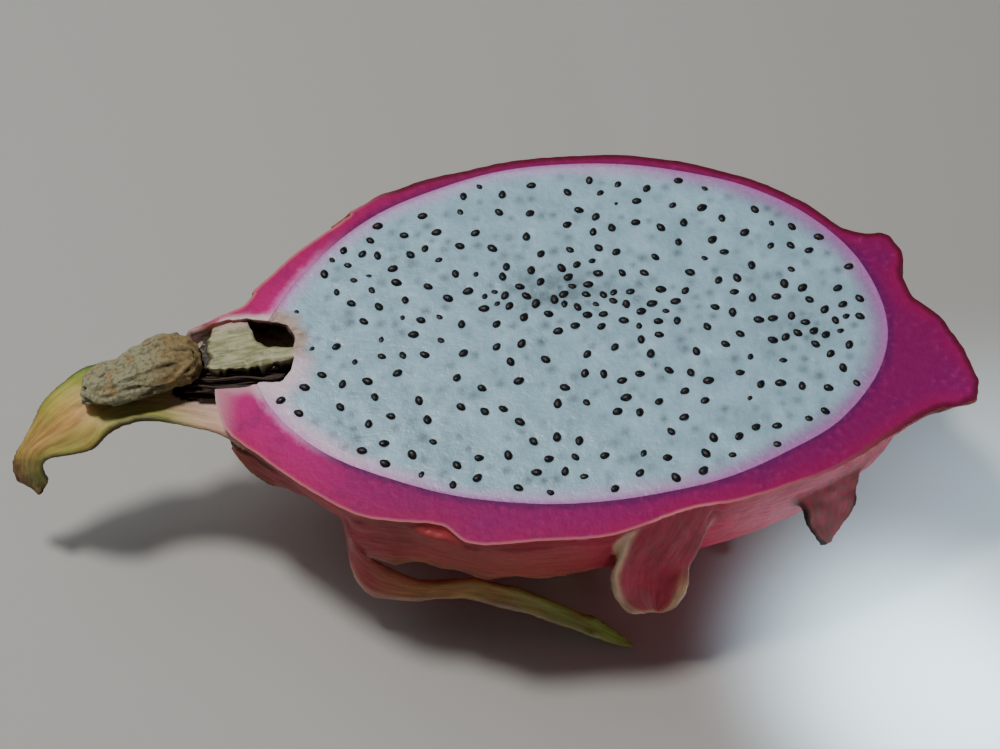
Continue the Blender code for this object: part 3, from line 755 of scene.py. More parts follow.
def add_scale(name, stations, ripple):
    """One scale, thick along its middle and thin along its edges, and its middle surface."""
    length = sum(
        (Vector(a) + Vector(b) - Vector(c) - Vector(d)).length / 2
        for (a, b, _, _), (c, d, _, _) in zip(stations, stations[1:])
    )
    along, across = max(24, int(length / 0.9)), 22
    deselect()
    bpy.ops.mesh.primitive_grid_add(x_subdivisions=along, y_subdivisions=across, size=2)
    piece = bpy.context.object
    piece.name = name
    floor = FLOOR_CLEARANCE - CUT_HEIGHT
    phase = sum(ord(letter) for letter in name)
    steps, weights, places = [], [], []
    thickest = max(station[2] for station in stations)
    for v in piece.data.vertices:
        t, u = (v.co.x + 1) / 2, v.co.y
        middle, normal, thickness = scale_surface(stations, t, u)
        wave = math.sin(t * length / 2.6 + phase + 0.8 * u) + 0.6 * math.sin(t * length / 1.35 + 2 * phase)
        middle += normal * ripple * wave * abs(u) ** 3 * smooth_step(0.15, 0.5, t)
        middle += normal * 0.35 * noise.noise(Vector((t * length / 5, u * 2, phase))) * smooth_step(0.1, 0.4, t)
        middle.z = max(middle.z, floor + thickness / 2)
        steps.append((t, u))
        places.append(middle)
        weights.append((v.index, thickness / thickest))
    for v, spot in zip(piece.data.vertices, places):
        v.co = spot
    polygons = [tuple(p.vertices) for p in piece.data.polygons]
    skin = {
        "name": name,
        "tree": bvhtree.BVHTree.FromPolygons(places, polygons),
        "places": places,
        "steps": steps,
        "polygons": polygons,
        "length": length,
        "width": sum((Vector(a) - Vector(b)).length for a, b, _, _ in stations) / len(stations),
        "thickness": thickest,
        "stations": stations,
    }
    vertex_group(piece, "thick", weights)
    apply_modifier(piece, "SOLIDIFY", thickness=thickest, offset=0, vertex_group="thick", use_even_offset=False)
    piece.vertex_groups.clear()
    pick(piece)
    edit_all()
    bpy.ops.mesh.normals_make_consistent(inside=False)
    object_mode()
    return piece, skin


def place_piece(piece, slot, *nodes):
    """Turns a finished piece from millimetres to metres, puts it on the frame and hides the model's parts that it takes
    the place of.
    """
    piece.data.transform(Matrix.Translation(MIDDLE) @ Matrix.Scale(MM, 4))
    piece.matrix_world = Matrix.Identity(4)
    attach(piece, "root")
    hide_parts(*nodes)
    return piece


def set_attribute(piece, name, kind, values):
    layer = piece.data.attributes.new(name, kind, "POINT")
    if kind == "FLOAT":
        layer.data.foreach_set("value", values)
    elif kind == "FLOAT_VECTOR":
        layer.data.foreach_set("vector", [c for value in values for c in value])
    else:
        layer.data.foreach_set("color", [c for value in values for c in value])


# Materials


def add_node(tree, kind, inputs=None, **settings):
    """A node with these settings, and with its inputs set to values or linked to sockets."""
    node = tree.nodes.new(kind)
    count = len(tree.nodes)
    node.location = (200 * (count // 6), -220 * (count % 6))
    for name, value in settings.items():
        setattr(node, name, value)
    for name, value in (inputs or {}).items():
        if isinstance(value, bpy.types.NodeSocket):
            tree.links.new(value, node.inputs[name])
        else:
            node.inputs[name].default_value = value
    return node


def mix_colours(tree, share, first, second, how="MIX"):
    node = add_node(tree, "ShaderNodeMix", data_type="RGBA", blend_type=how)
    for index, value in ((0, share), (6, first), (7, second)):
        if isinstance(value, bpy.types.NodeSocket):
            tree.links.new(value, node.inputs[index])
        elif index == 0:
            node.inputs[index].default_value = value
        else:
            node.inputs[index].default_value = (*value[:3], 1)
    return node.outputs[2]


def maths(tree, operation, first, second=0.0, clamp=False):
    return add_node(tree, "ShaderNodeMath", {0: first, 1: second}, operation=operation, use_clamp=clamp).outputs[0]


def spread(tree, value, low, high, to_low=0.0, to_high=1.0):
    """A value between low and high, spread over to_low to to_high with soft ends."""
    node = add_node(
        tree,
        "ShaderNodeMapRange",
        {"Value": value, "From Min": low, "From Max": high, "To Min": to_low, "To Max": to_high},
        interpolation_type="SMOOTHSTEP",
    )
    return node.outputs["Result"]


def attribute(tree, name, output="Fac"):
    return add_node(tree, "ShaderNodeAttribute", attribute_name=name).outputs[output]


def new_material(name):
    material = bpy.data.materials.new(name)
    material.use_nodes = True
    return material, material.node_tree, material.node_tree.nodes["Principled BSDF"]


def new_group(name, inputs, outputs):
    """An empty node group with these (name, kind, default) inputs and (name, kind) outputs."""
    tree = bpy.data.node_groups.new(name, "ShaderNodeTree")
    for label, kind, default in inputs:
        socket = tree.interface.new_socket(name=label, in_out="INPUT", socket_type=kind)
        if default is not None:
            socket.default_value = default
    for label, kind in outputs:
        tree.interface.new_socket(name=label, in_out="OUTPUT", socket_type=kind)
    return tree, tree.nodes.new("NodeGroupInput"), tree.nodes.new("NodeGroupOutput")


def use_group(tree, group, inputs):
    node = add_node(tree, "ShaderNodeGroup", node_tree=group)
    for name, value in inputs.items():
        if isinstance(value, bpy.types.NodeSocket):
            tree.links.new(value, node.inputs[name])
        else:
            node.inputs[name].default_value = value
    return node.outputs


def mottle_group():
    """Soft blotches of two sizes."""
    if "Mottle" in bpy.data.node_groups:
        return bpy.data.node_groups["Mottle"]
    tree, entry, leave = new_group(
        "Mottle",
        (
            ("Place", "NodeSocketVector", None),
            ("Blotches per metre", "NodeSocketFloat", 200.0),
            ("Contrast", "NodeSocketFloat", 1.0),
        ),
        (("Share", "NodeSocketFloat"),),
    )
    broad = add_node(
        tree,
        "ShaderNodeTexNoise",
        {"Vector": entry.outputs["Place"], "Scale": entry.outputs["Blotches per metre"], "Detail": 4.0,
         "Roughness": 0.6},
    )
    centred = maths(tree, "SUBTRACT", broad.outputs["Fac"], 0.5)
    scaled = maths(tree, "MULTIPLY", centred, entry.outputs["Contrast"])
    share = maths(tree, "ADD", scaled, 0.5, clamp=True)
    tree.links.new(share, leave.inputs["Share"])
    return tree


def fibre_group():
    """Fine streaks along the second coordinate."""
    if "Fibre" in bpy.data.node_groups:
        return bpy.data.node_groups["Fibre"]
    tree, entry, leave = new_group(
        "Fibre",
        (
            ("Grain", "NodeSocketVector", None),
            ("Streaks per unit", "NodeSocketFloat", 1.0),
            ("Stretch", "NodeSocketFloat", 0.15),
        ),
        (("Streak", "NodeSocketFloat"),),
    )
    parts = add_node(tree, "ShaderNodeSeparateXYZ", {"Vector": entry.outputs["Grain"]})
    long_way = maths(tree, "MULTIPLY", parts.outputs["Y"], entry.outputs["Stretch"])
    drawn = add_node(
        tree, "ShaderNodeCombineXYZ", {"X": parts.outputs["X"], "Y": long_way, "Z": parts.outputs["Z"]}
    )
    fine = add_node(
        tree,
        "ShaderNodeTexNoise",
        {"Vector": drawn.outputs[0], "Scale": entry.outputs["Streaks per unit"], "Detail": 3.0, "Roughness": 0.55},
    )
    tree.links.new(fine.outputs["Fac"], leave.inputs["Streak"])
    return tree


def local_place(tree):
    """Object coordinates about the middle of the cut face."""
    coordinates = add_node(tree, "ShaderNodeTexCoord")
    centred = add_node(
        tree, "ShaderNodeMapping", {"Vector": coordinates.outputs["Object"], "Location": -MIDDLE}
    )
    return centred.outputs["Vector"]


def rind_material(settings):
    material, tree, shader = new_material("rind_skin")
    place = local_place(tree)
    cut = attribute(tree, "cut")
    across = attribute(tree, "from_pulp")
    margin = attribute(tree, "from_skin")
    pale = attribute(tree, "pale")
    dark = attribute(tree, "dark_edge")
    hollow = attribute(tree, "painted_hollow_shade")
    tints = add_node(tree, "ShaderNodeSeparateColor", {"Color": attribute(tree, "tints", "Color")})
    grain = attribute(tree, "grain", "Vector")
    blotch = use_group(tree, mottle_group(), {"Place": place, "Blotches per metre": 130.0, "Contrast": 2.2})["Share"]
    small = use_group(tree, mottle_group(), {"Place": place, "Blotches per metre": 700.0, "Contrast": 2.0})["Share"]
    streak = use_group(tree, fibre_group(), {"Grain": grain, "Streaks per unit": 1.1, "Stretch": 0.12})["Streak"]

    # skin
    skin = mix_colours(tree, blotch, settings.skin_shade, settings.skin)
    warm = maths(tree, "MULTIPLY", tints.outputs["Red"], spread(tree, streak, 0.3, 0.7, 0.7, 1.25), clamp=True)
    skin = mix_colours(tree, warm, skin, settings.warm)
    green = maths(tree, "MULTIPLY", tints.outputs["Green"], spread(tree, blotch, 0.2, 0.8, 0.75, 1.2), clamp=True)
    skin = mix_colours(tree, green, skin, settings.green)
    skin = mix_colours(tree, pale, skin, settings.pale)
    # The dry share is dried skin and, on some scales, painted shade.
    dry_and_shade = maths(tree, "MULTIPLY", tints.outputs["Blue"], spread(tree, small, 0.25, 0.75, 0.6, 1.3), clamp=True)
    skin = mix_colours(tree, dry_and_shade, skin, settings.dry_and_shade)
    skin = mix_colours(tree, dark, skin, (0.02, 0.014, 0.008))
    shading = spread(tree, streak, 0.25, 0.75, 0.82, 1.15)
    skin = mix_colours(tree, 1.0, skin, add_node(
        tree, "ShaderNodeCombineColor", {"Red": shading, "Green": shading, "Blue": shading}
    ).outputs[0], "MULTIPLY")

    # cut face: a dark line beside the pulp, magenta, redder outwards, a line beside the skin, dark on the far side and
    # pale on the near side, where the pale part is partly the skin's edge and partly a painted highlight
    deep = attribute(tree, "deep")
    pale_edge_highlight = attribute(tree, "pale_edge_highlight")
    middle = mix_colours(tree, deep, settings.cut_bright, settings.cut_deep)
    inner = spread(tree, maths(tree, "ADD", across, maths(tree, "MULTIPLY", maths(tree, "SUBTRACT", small, 0.5), 1.2)),
                   0.1, 2.0)
    inside = mix_colours(tree, spread(tree, deep, 0.05, 0.5), (0.80, 0.24, 0.56), settings.cut_inner)
    face = mix_colours(tree, inner, inside, middle)
    face = mix_colours(tree, spread(tree, margin, 4.5, 0.6, 0.0, 0.45), face, (0.46, 0.008, 0.085))
    patches = spread(tree, blotch, 0.4, 0.95, 0.0, 0.4)
    face = mix_colours(tree, patches, face, settings.cut_inner)
    flecks = maths(tree, "MULTIPLY", spread(tree, small, 0.5, 0.95, 0.0, 0.3), spread(tree, blotch, 0.35, 0.65))
    face = mix_colours(tree, flecks, face, (0.70, 0.03, 0.28))
    line_colour = mix_colours(tree, pale_edge_highlight, settings.cut_dark_line, settings.cut_edge_highlight)
    width = spread(tree, pale_edge_highlight, 0.0, 0.5, 1.5, 0.75)
    near_line = maths(tree, "DIVIDE", margin, width)
    face = mix_colours(tree, spread(tree, near_line, 1.0, 0.25, 0.0, 0.85), face, line_colour)
    face = mix_colours(tree, pale, face, settings.pale)
    colour = mix_colours(tree, cut, skin, face)
    # Painted shade in the hollow, near black.
    colour = mix_colours(tree, hollow, colour, (0.028, 0.014, 0.008))
    tree.links.new(colour, shader.inputs["Base Color"])

    rough_skin = spread(tree, tints.outputs["Blue"], 0.0, 1.0, settings.roughness, 0.8)
    rough = add_node(tree, "ShaderNodeMix", {0: cut, 2: rough_skin, 3: spread(tree, small, 0.2, 0.8, 0.36, 0.52)}, data_type="FLOAT").outputs[0]
    tree.links.new(rough, shader.inputs["Roughness"])
    shader.inputs["Specular IOR Level"].default_value = 0.2
    shader.inputs["Subsurface Weight"].default_value = 0.12
    shader.inputs["Subsurface Radius"].default_value = (0.0016, 0.0005, 0.0006)
    shader.inputs["Subsurface Scale"].default_value = 1.0

    relief = maths(tree, "MULTIPLY", streak, spread(tree, cut, 0.0, 1.0, 1.0, 0.15))
    ridges = add_node(tree, "ShaderNodeBump", {"Height": relief, "Strength": 0.35, "Distance": 0.0004})
    pores = add_node(
        tree, "ShaderNodeBump", {"Height": small, "Strength": 0.3, "Distance": 0.0002, "Normal": ridges.outputs[0]}
    )
    tree.links.new(pores.outputs[0], shader.inputs["Normal"])
    return material


def pulp_material(settings):
    material, tree, shader = new_material("pulp_flesh")
    place = local_place(tree)
    near_edge = attribute(tree, "from_rind")
    buried = attribute(tree, "buried")
    hollow = attribute(tree, "painted_hollow_shade")
    pale = attribute(tree, "pale")
    cloud = use_group(tree, mottle_group(), {"Place": place, "Blotches per metre": 150.0, "Contrast": 2.8})["Share"]
    grain = use_group(tree, mottle_group(), {"Place": place, "Blotches per metre": 900.0, "Contrast": 2.2})["Share"]
    cells = add_node(tree, "ShaderNodeTexVoronoi", {"Vector": place, "Scale": 620.0}, feature="SMOOTH_F1")
    colour = mix_colours(tree, cloud, settings.flesh_shade, settings.flesh)
    grainy = spread(tree, grain, 0.2, 0.85, 0.0, 0.35)
    colour = mix_colours(tree, grainy, colour, settings.flesh_shade)
    blush = attribute(tree, "blush")
    edge = mix_colours(tree, blush, settings.edge, (0.92, 0.66, 0.90))
    edge = mix_colours(tree, attribute(tree, "plum"), edge, (0.38, 0.16, 0.43))
    colour = mix_colours(tree, spread(tree, near_edge, 3.8, 0.6, 0.0, 0.9), colour, edge)
    rim = mix_colours(tree, blush, (0.62, 0.20, 0.60), (0.90, 0.42, 0.80))
    colour = mix_colours(tree, spread(tree, near_edge, 1.3, 0.1, 0.0, 0.8), colour, rim)
    grain_place = attribute(tree, "grain", "Vector")
    streak = use_group(tree, fibre_group(), {"Grain": grain_place, "Streaks per unit": 0.9, "Stretch": 0.2})["Streak"]
    tissue = mix_colours(tree, spread(tree, streak, 0.42, 0.68), (0.56, 0.39, 0.30), (0.32, 0.19, 0.15))
    tissue = mix_colours(tree, blush, tissue, (0.92, 0.68, 0.80))
    colour = mix_colours(tree, pale, colour, tissue)
    colour = mix_colours(tree, buried, colour, (0.09, 0.13, 0.14))
    # Painted shade in the hollow, near black.
    colour = mix_colours(tree, hollow, colour, (0.028, 0.014, 0.008))
    tree.links.new(colour, shader.inputs["Base Color"])
    tree.links.new(spread(tree, grain, 0.2, 0.8, 0.22, 0.42), shader.inputs["Roughness"])
    shader.inputs["Subsurface Weight"].default_value = 0.35
    shader.inputs["Subsurface Radius"].default_value = (0.0022, 0.0024, 0.0026)
    shader.inputs["Subsurface Scale"].default_value = 1.0
    height = maths(tree, "ADD", maths(tree, "MULTIPLY", cells.outputs["Distance"], 0.7), grain)
    bump = add_node(tree, "ShaderNodeBump", {"Height": height, "Strength": 0.35, "Distance": 0.0003})
    tree.links.new(bump.outputs[0], shader.inputs["Normal"])
    return material


def seed_material(settings):
    material, tree, shader = new_material("seed_coat")
    place = local_place(tree)
    fleck = use_group(tree, mottle_group(), {"Place": place, "Blotches per metre": 1500.0, "Contrast": 2.0})["Share"]
    colour = mix_colours(tree, fleck, settings.seed, (0.016, 0.012, 0.010))
    tree.links.new(colour, shader.inputs["Base Color"])
    tree.links.new(spread(tree, fleck, 0.2, 0.8, 0.34, 0.5), shader.inputs["Roughness"])
    shader.inputs["Specular IOR Level"].default_value = 0.35
    bump = add_node(tree, "ShaderNodeBump", {"Height": fleck, "Strength": 0.25, "Distance": 0.0001})
    tree.links.new(bump.outputs[0], shader.inputs["Normal"])
    return material


def flower_material(settings):
    material, tree, shader = new_material("withered_petals")
    place = local_place(tree)
    parts = add_node(tree, "ShaderNodeSeparateXYZ", {"Vector": place})
    blotch = use_group(tree, mottle_group(), {"Place": place, "Blotches per metre": 320.0, "Contrast": 2.4})["Share"]
    fine = use_group(tree, mottle_group(), {"Place": place, "Blotches per metre": 1400.0, "Contrast": 2.4})["Share"]
    crease_shade = attribute(tree, "crease_shade")
    inner = spread(tree, maths(tree, "ADD", parts.outputs["X"], maths(tree, "MULTIPLY", blotch, 0.006)), -0.080, -0.070)
    colour = mix_colours(tree, inner, settings.grey, settings.brown)
    colour = mix_colours(tree, spread(tree, blotch, 0.55, 0.9, 0.0, 0.6), colour, (0.42, 0.22, 0.07))
    colour = mix_colours(tree, spread(tree, fine, 0.45, 0.8, 0.0, 0.55), colour, (0.09, 0.065, 0.035))
    # Painted shade: darker where the surface lies deep in a crease.
    colour = mix_colours(tree, crease_shade, colour, (0.035, 0.022, 0.012))
    tree.links.new(colour, shader.inputs["Base Color"])
    tree.links.new(spread(tree, fine, 0.2, 0.8, 0.7, 0.95), shader.inputs["Roughness"])
    bump = add_node(tree, "ShaderNodeBump", {"Height": fine, "Strength": 0.5, "Distance": 0.0002})
    tree.links.new(bump.outputs[0], shader.inputs["Normal"])
    return material


def core_material(settings):
    material, tree, shader = new_material("core_fibres")
    place = local_place(tree)
    turned = add_node(
        tree, "ShaderNodeMapping", {"Vector": place, "Rotation": (0, 0, math.radians(77)), "Scale": (1000.0,) * 3}
    )
    streak = use_group(
        tree, fibre_group(), {"Grain": turned.outputs[0], "Streaks per unit": 1.6, "Stretch": 0.12}
    )["Streak"]
    blotch = use_group(tree, mottle_group(), {"Place": place, "Blotches per metre": 400.0, "Contrast": 2.4})["Share"]
    colour = mix_colours(tree, spread(tree, streak, 0.35, 0.65), settings.core, (0.22, 0.24, 0.09))
    colour = mix_colours(tree, spread(tree, blotch, 0.5, 0.9, 0.0, 0.7), colour, (0.60, 0.53, 0.38))
    colour = mix_colours(tree, attribute(tree, "joined"), colour, (0.68, 0.52, 0.47))
    # Painted shade on the core's underside and its sunken outer end.
    colour = mix_colours(tree, attribute(tree, "crease_shade"), colour, (0.04, 0.025, 0.012))
    tree.links.new(colour, shader.inputs["Base Color"])
    tree.links.new(spread(tree, blotch, 0.2, 0.8, 0.4, 0.65), shader.inputs["Roughness"])
    bump = add_node(tree, "ShaderNodeBump", {"Height": streak, "Strength": 0.6, "Distance": 0.0005})
    tree.links.new(bump.outputs[0], shader.inputs["Normal"])
    return material


def strand_material():
    material, tree, shader = new_material("dried_stamens")
    place = local_place(tree)
    blotch = use_group(tree, mottle_group(), {"Place": place, "Blotches per metre": 500.0, "Contrast": 2.4})["Share"]
    colour = mix_colours(tree, blotch, (0.020, 0.010, 0.007), (0.11, 0.07, 0.05))
    tree.links.new(colour, shader.inputs["Base Color"])
    tree.links.new(spread(tree, blotch, 0.2, 0.8, 0.55, 0.8), shader.inputs["Roughness"])
    bump = add_node(tree, "ShaderNodeBump", {"Height": blotch, "Strength": 0.4, "Distance": 0.0002})
    tree.links.new(bump.outputs[0], shader.inputs["Normal"])
    return material


def floor_material(settings):
    material, tree, shader = new_material("pale_floor")
    coordinates = add_node(tree, "ShaderNodeTexCoord")
    cloud = use_group(
        tree, mottle_group(), {"Place": coordinates.outputs["Object"], "Blotches per metre": 3.0, "Contrast": 0.6}
    )["Share"]
    tone = tuple(settings.floor)
    colour = mix_colours(tree, cloud, tuple(c * 0.96 for c in tone), tuple(min(c * 1.03, 1) for c in tone))
    tree.links.new(colour, shader.inputs["Base Color"])
    shader.inputs["Roughness"].default_value = 0.55
    return material


# The pieces


def paint_rind(rind, skins):
    """Gives every point of the rind the attributes that its material reads."""
    mesh = rind.data
    flat_edges = set()
    on_cut = [False] * len(mesh.vertices)
    off_cut = [False] * len(mesh.vertices)
    for polygon in mesh.polygons:
        level = all(mesh.vertices[i].co.z > -0.02 for i in polygon.vertices)
        for i in polygon.vertices:
            if level:
                on_cut[i] = True
            else:
                off_cut[i] = True
    border = []
    for v in mesh.vertices:
        if on_cut[v.index] and off_cut[v.index]:
            angle = math.degrees(math.atan2(v.co.y, v.co.x))
            outside = math.hypot(v.co.x, v.co.y) - closed_curve(PULP_EDGE, angle)
            if outside > 0.6 and hollow_share(v.co.x, v.co.y) > 1.15:
                border.append(v.co.copy())
    edge = kdtree.KDTree(len(border))
    for i, spot in enumerate(border):
        edge.insert(spot, i)
    edge.balance()

    cut, from_pulp, from_skin, pale, dark, painted_hollow_shade, tints, grain = [], [], [], [], [], [], [], []
    deep, pale_edge_highlight = [], []
    for v in mesh.vertices:
        spot = v.co
        angle = math.degrees(math.atan2(spot.y, spot.x))
        level = on_cut[v.index]
        share = hollow_share(spot.x, spot.y)
        # Painted shade: inside the hollow the rind's walls below the cut face darken to near black.
        inside = 0.0
        behind_arm = smooth_step(-3.0, -1.0, spot.y) * smooth_step(-63.0, -65.0, spot.x)
        if -9.5 < spot.z < -0.05 and share < 1.12:
            inside = smooth_step(0.0, -1.2, spot.z) * (1 - behind_arm)
        arm_inside = 0.0 if level else 0.75 * behind_arm * smooth_step(-7.0, -1.0, spot.z) * smooth_step(4.0, 1.5, spot.y)
        gap = math.hypot(spot.x, spot.y) - closed_curve(PULP_EDGE, angle)
        cut.append(1.0 if level else 0.0)
        from_pulp.append(max(gap, 0.0) if level else 5.0)
        from_skin.append(edge.find(spot)[2] if level else 0.0)
        painted_hollow_shade.append(inside)

        best = None
        for skin in skins:
            found = skin["tree"].find_nearest(spot, 4.0)
            if found[0] is None:
                continue
            corners = skin["polygons"][found[2]]
            shares = interpolate.poly_3d_calc([skin["places"][i] for i in corners], found[0])
            t = sum(share * skin["steps"][i][0] for share, i in zip(shares, corners))
            u = sum(share * skin["steps"][i][1] for share, i in zip(shares, corners))
            half = scale_half(skin, t, u)
            beyond = found[3] - half
            if best is None or beyond < best[0]:
                best = (beyond, skin, t, u, (spot - found[0]).dot(found[1]))
        shares, edge_dark, on_leaf = [0.0, 0.0, 0.0, 0.0], 0.0, 0.0
        if best and not level:
            beyond, skin, t, u, side = best
            on_leaf = smooth_step(1.4, 0.2, beyond)
            first, middle, second, start, edge_strength = SCALE_TINTS.get(skin["name"], PLAIN_TINT)
            at_margin = smooth_step(start, 0.97, max(abs(u), t**6))
            if skin["name"] in LATE_MARGINS and u > 0:
                at_margin *= smooth_step(-0.15, 0.1, t - LATE_MARGINS[skin["name"]])
            inner_row, outer_row = between(middle, t), between(first if u < 0 else second, t)
            shares = [(a + (b - a) * at_margin) * on_leaf for a, b in zip(inner_row, outer_row)]
            rim = smooth_step(0.84, 0.98, max(abs(u), t**3))
            edge_dark = edge_strength * rim * on_leaf * smooth_step(0.15, 0.45, t)
        near_left = smooth_step(10.0, -40.0, spot.x) * smooth_step(5.0, -20.0, spot.y)
        body_warm = 0.06 * near_left * (1 - on_leaf)
        reach = 1.5 - 0.26 * smooth_step(-1.0, 3.0, spot.y)
        tissue = smooth_step(reach, 1.05, share + 0.1 * noise.noise(spot * 0.4)) if level else 0.0
        tissue *= 1 - 0.55 * smooth_step(-58.5, -62.0, spot.x) * smooth_step(-3.0, -6.0, spot.y)
        if level:
            tissue = max(tissue, 0.4 * smooth_step(-62.0, -67.0, spot.x) * smooth_step(-2.0, -6.0, spot.y))
        far_side = smooth_step(6.0, 30.0, spot.y) * smooth_step(-62.0, -25.0, spot.x)
        along = 0.72 * smooth_step(-60.0, -33.0, spot.x) + 0.2 * smooth_step(-10.0, 42.0, spot.x)
        deep.append(max(along, 0.95 * far_side))
        # Where the line along the edge of the cut is pale: partly the skin's edge, partly a painted highlight.
        spoon_root = smooth_step(6.0, 10.0, spot.x) * smooth_step(26.0, 20.0, spot.x) * smooth_step(-20.0, -28.0, spot.y)
        near_line = 0.75 * smooth_step(4.0, -14.0, spot.y) * smooth_step(62.0, 22.0, spot.x)
        arm_line = 0.9 * smooth_step(-34.0, -48.0, spot.x) * smooth_step(2.0, 5.0, spot.y)
        pale_edge_highlight.append(max(near_line, spoon_root, arm_line))
        tints.append((min(shares[0] + body_warm, 1), shares[1], shares[2], 1.0))
        pale.append(max(shares[3], tissue, arm_inside))
        dark.append(edge_dark)
        if level:
            grain.append((math.radians(angle) * 50, math.hypot(spot.x, spot.y), spot.z))
        elif on_leaf > 0.5:
            grain.append((best[3] * best[1]["width"] / 2, best[2] * best[1]["length"], 0.0))
        else:
            grain.append((spot.y, spot.x, spot.z))
    set_attribute(rind, "cut", "FLOAT", cut)
    set_attribute(rind, "from_pulp", "FLOAT", from_pulp)
    set_attribute(rind, "from_skin", "FLOAT", from_skin)
    set_attribute(rind, "pale", "FLOAT", pale)
    set_attribute(rind, "deep", "FLOAT", deep)
    set_attribute(rind, "pale_edge_highlight", "FLOAT", pale_edge_highlight)
    set_attribute(rind, "dark_edge", "FLOAT", dark)
    set_attribute(rind, "painted_hollow_shade", "FLOAT", painted_hollow_shade)
    set_attribute(rind, "tints", "FLOAT_COLOR", tints)
    set_attribute(rind, "grain", "FLOAT_VECTOR", grain)


def scale_half(skin, t, u):
    """Half the thickness of a scale."""
    thickness = spline([[station[2]] for station in skin["stations"]], t)[0]
    return (SCALE_MARGIN + max(thickness - SCALE_MARGIN, 0) * (1 - u * u)) / 2


class FRUIT_OT_rind(Operator):
    """Add the rind with the scales that grow from it"""

    bl_idname = "mesh.dragon_fruit_rind"
    bl_label = "Rind and scales"

    def execute(self, context):
        settings = context.scene.dragon_fruit_rind
        rules = dict(SCALES)
        rules.update({name: back_stations(*rule) for name, rule in BACK_SCALES.items()})
        body = add_half_body("rind_body", rind_point, top=1.5)
        for v in body.data.vertices:
            v.co.z = max(v.co.z, -CUT_HEIGHT)
        made = [add_scale(name, stations, settings.ripple / MM) for name, stations in rules.items()]
        rind = join([body] + [piece for piece, _ in made], "rind_and_scales")
        apply_modifier(rind, "REMESH", mode="VOXEL", voxel_size=settings.fineness / MM)
        apply_modifier(rind, "SMOOTH", factor=0.5, iterations=3)
        apply_modifier(rind, "DECIMATE", ratio=0.56)
        normals = [v.normal.copy() for v in rind.data.vertices]
        for v, normal in zip(rind.data.vertices, normals):
            v.co += normal * (0.35 * noise.noise(v.co * 0.11) + 0.12 * noise.noise(v.co * 0.5))
            v.co.z = max(v.co.z, -CUT_HEIGHT)
        cut_by(rind, add_knife(0.6))
        cut_by(rind, add_half_body("pulp_space", lambda a, s: pulp_point(a, s, 0.05), top=2.0))
        cut_by(rind, *add_hollow_cutters())
        print("rind after cuts", len(rind.data.polygons), sum(len(p.vertices) - 2 for p in rind.data.polygons))
        paint_rind(rind, [skin for _, skin in made])
        rind.data.materials.clear()
        rind.data.materials.append(rind_material(settings))
        pick(rind)
        bpy.ops.object.shade_smooth_by_angle(angle=math.radians(50))
        place_piece(rind, "rind", "rind")
        return {"FINISHED"}


